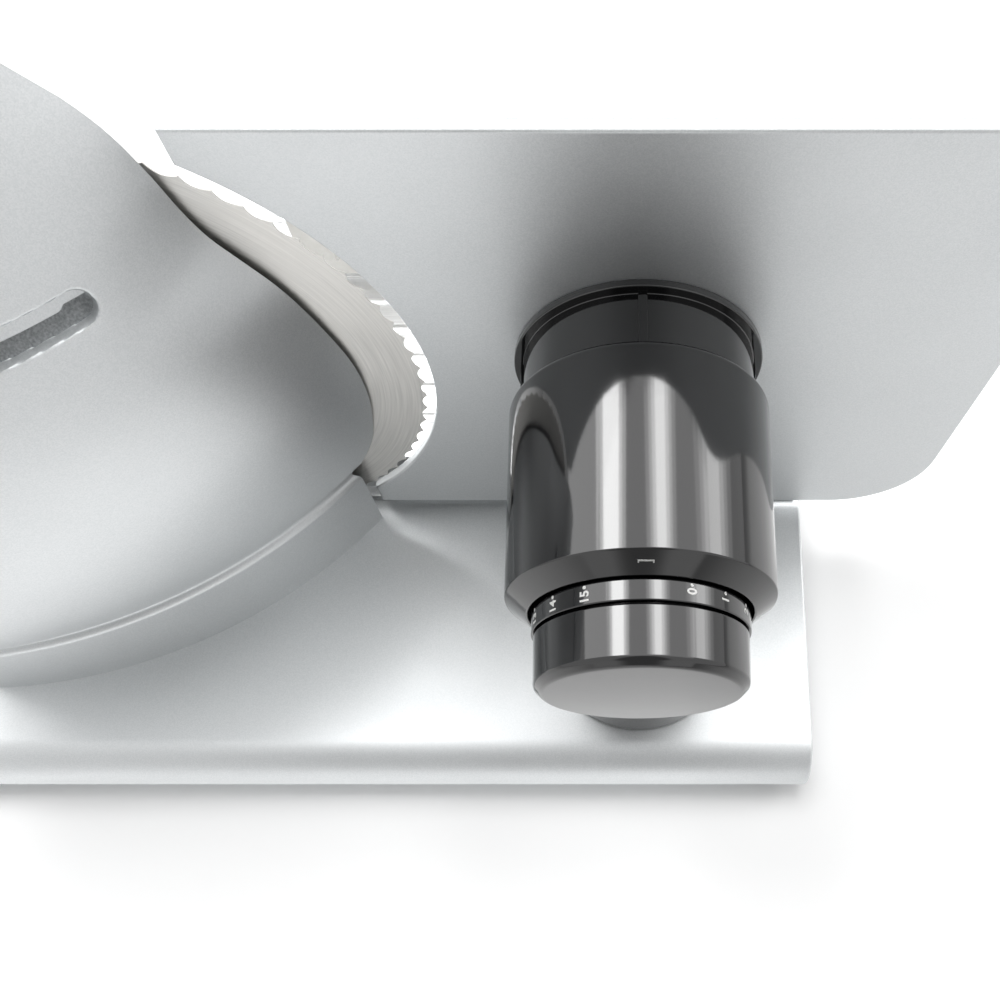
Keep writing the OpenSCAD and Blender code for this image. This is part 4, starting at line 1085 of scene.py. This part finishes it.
# %% Sky
FILL, DARK = 0.12, 0.34
VIEWER, FLATTEN = (0.0, -0.77, 0.64), (2.0, 1.0, 1.0)
world = bpy.data.worlds.new("studio")
scene.world = world
world.use_nodes = True
tree = world.node_tree
tree.nodes.clear()
ray = add(tree, "ShaderNodeLightPath").outputs
seen = maths(tree, "MAXIMUM", maths(tree, "MAXIMUM", ray["Is Camera Ray"], ray["Is Glossy Ray"]),
             ray["Is Transmission Ray"])
facing = vectors(tree, "MULTIPLY", add(tree, "ShaderNodeTexCoord").outputs["Generated"], FLATTEN)
to_viewer = vectors(tree, "DOT_PRODUCT", vectors(tree, "NORMALIZE", facing), VIEWER, out="Value")
shade = remap(tree, to_viewer, 0.72, 0.84, 1.0, DARK, "SMOOTHSTEP")
mirrored = add(tree, "ShaderNodeMix", None, i0=ray["Is Camera Ray"], i2=shade, i3=1.0).outputs[0]
level = remap(tree, seen, 0.0, 1.0, FILL, mirrored)
sky = add(tree, "ShaderNodeBackground", None, Color=(1, 1, 1, 1), Strength=level).outputs[0]
add(tree, "ShaderNodeOutputWorld", None, Surface=sky)
scene.view_settings.view_transform = "Standard"
print("sky fills shadows at", FILL)

# %% [markdown]
# ## Lamps
# Long softboxes above and behind the slicer make the streaks on the black dial, and wider ones stand on
# the left and on the right. One area lamp has a hard border in a reflection, and a real softbox is
# brightest in its middle, so each is a narrow bright strip over wider and dimmer ones.

# %% Lamps
AIM, LEAN, LAMP_DEEP = Vector((0.077, -0.06, 0.162)), 0.38, 0.44
SOFT = ((0.35, 0.36), (0.62, 0.28), (0.85, 0.22), (1.15, 0.14))  # share of the width, share of the light
BROAD = ((0.7, 0.5), (1.0, 0.25), (1.35, 0.25))


def softbox(name, turn_deg, lean, distance, wide, deep, radiance):
    """An area lamp, turned about the dial's axis from straight up, and leaning back."""
    flat = sqrt(1 - lean ** 2)
    d = Vector((flat * sin(radians(turn_deg)), lean, flat * cos(radians(turn_deg))))
    lamp = bpy.data.lights.new(name, "AREA")
    lamp.shape, lamp.size, lamp.size_y = "RECTANGLE", wide, deep
    lamp.energy = radiance * pi * wide * deep
    made = bpy.data.objects.new(name, lamp)
    along = (Vector((0, 1, 0)) - d * d.y).normalized()
    made.matrix_world = Matrix((along.cross(d), along, d)).transposed().to_4x4()
    made.location = AIM + d * distance
    scene.collection.objects.link(made)
    print(name, round(lamp.energy, 2), "W")


for name, turn_deg, wide, peak, strips in (("left", -26, 0.3, 10.3, BROAD), ("middle", 15.5, 0.36, 8.0, SOFT),
                                           ("right", 62, 0.5, 4.6, SOFT)):
    for k, (share, part) in enumerate(strips):
        softbox(f"softbox_{name}_{k}", turn_deg, LEAN, 1.0 + 0.01 * k, wide * share, LAMP_DEEP, peak * part)
softbox("softbox_far_left", -50, LEAN, 1.15, 0.5, 0.5, 1.7)
softbox("softbox_top", 12, 0.25, 1.3, 2.2, 1.0, 0.9)
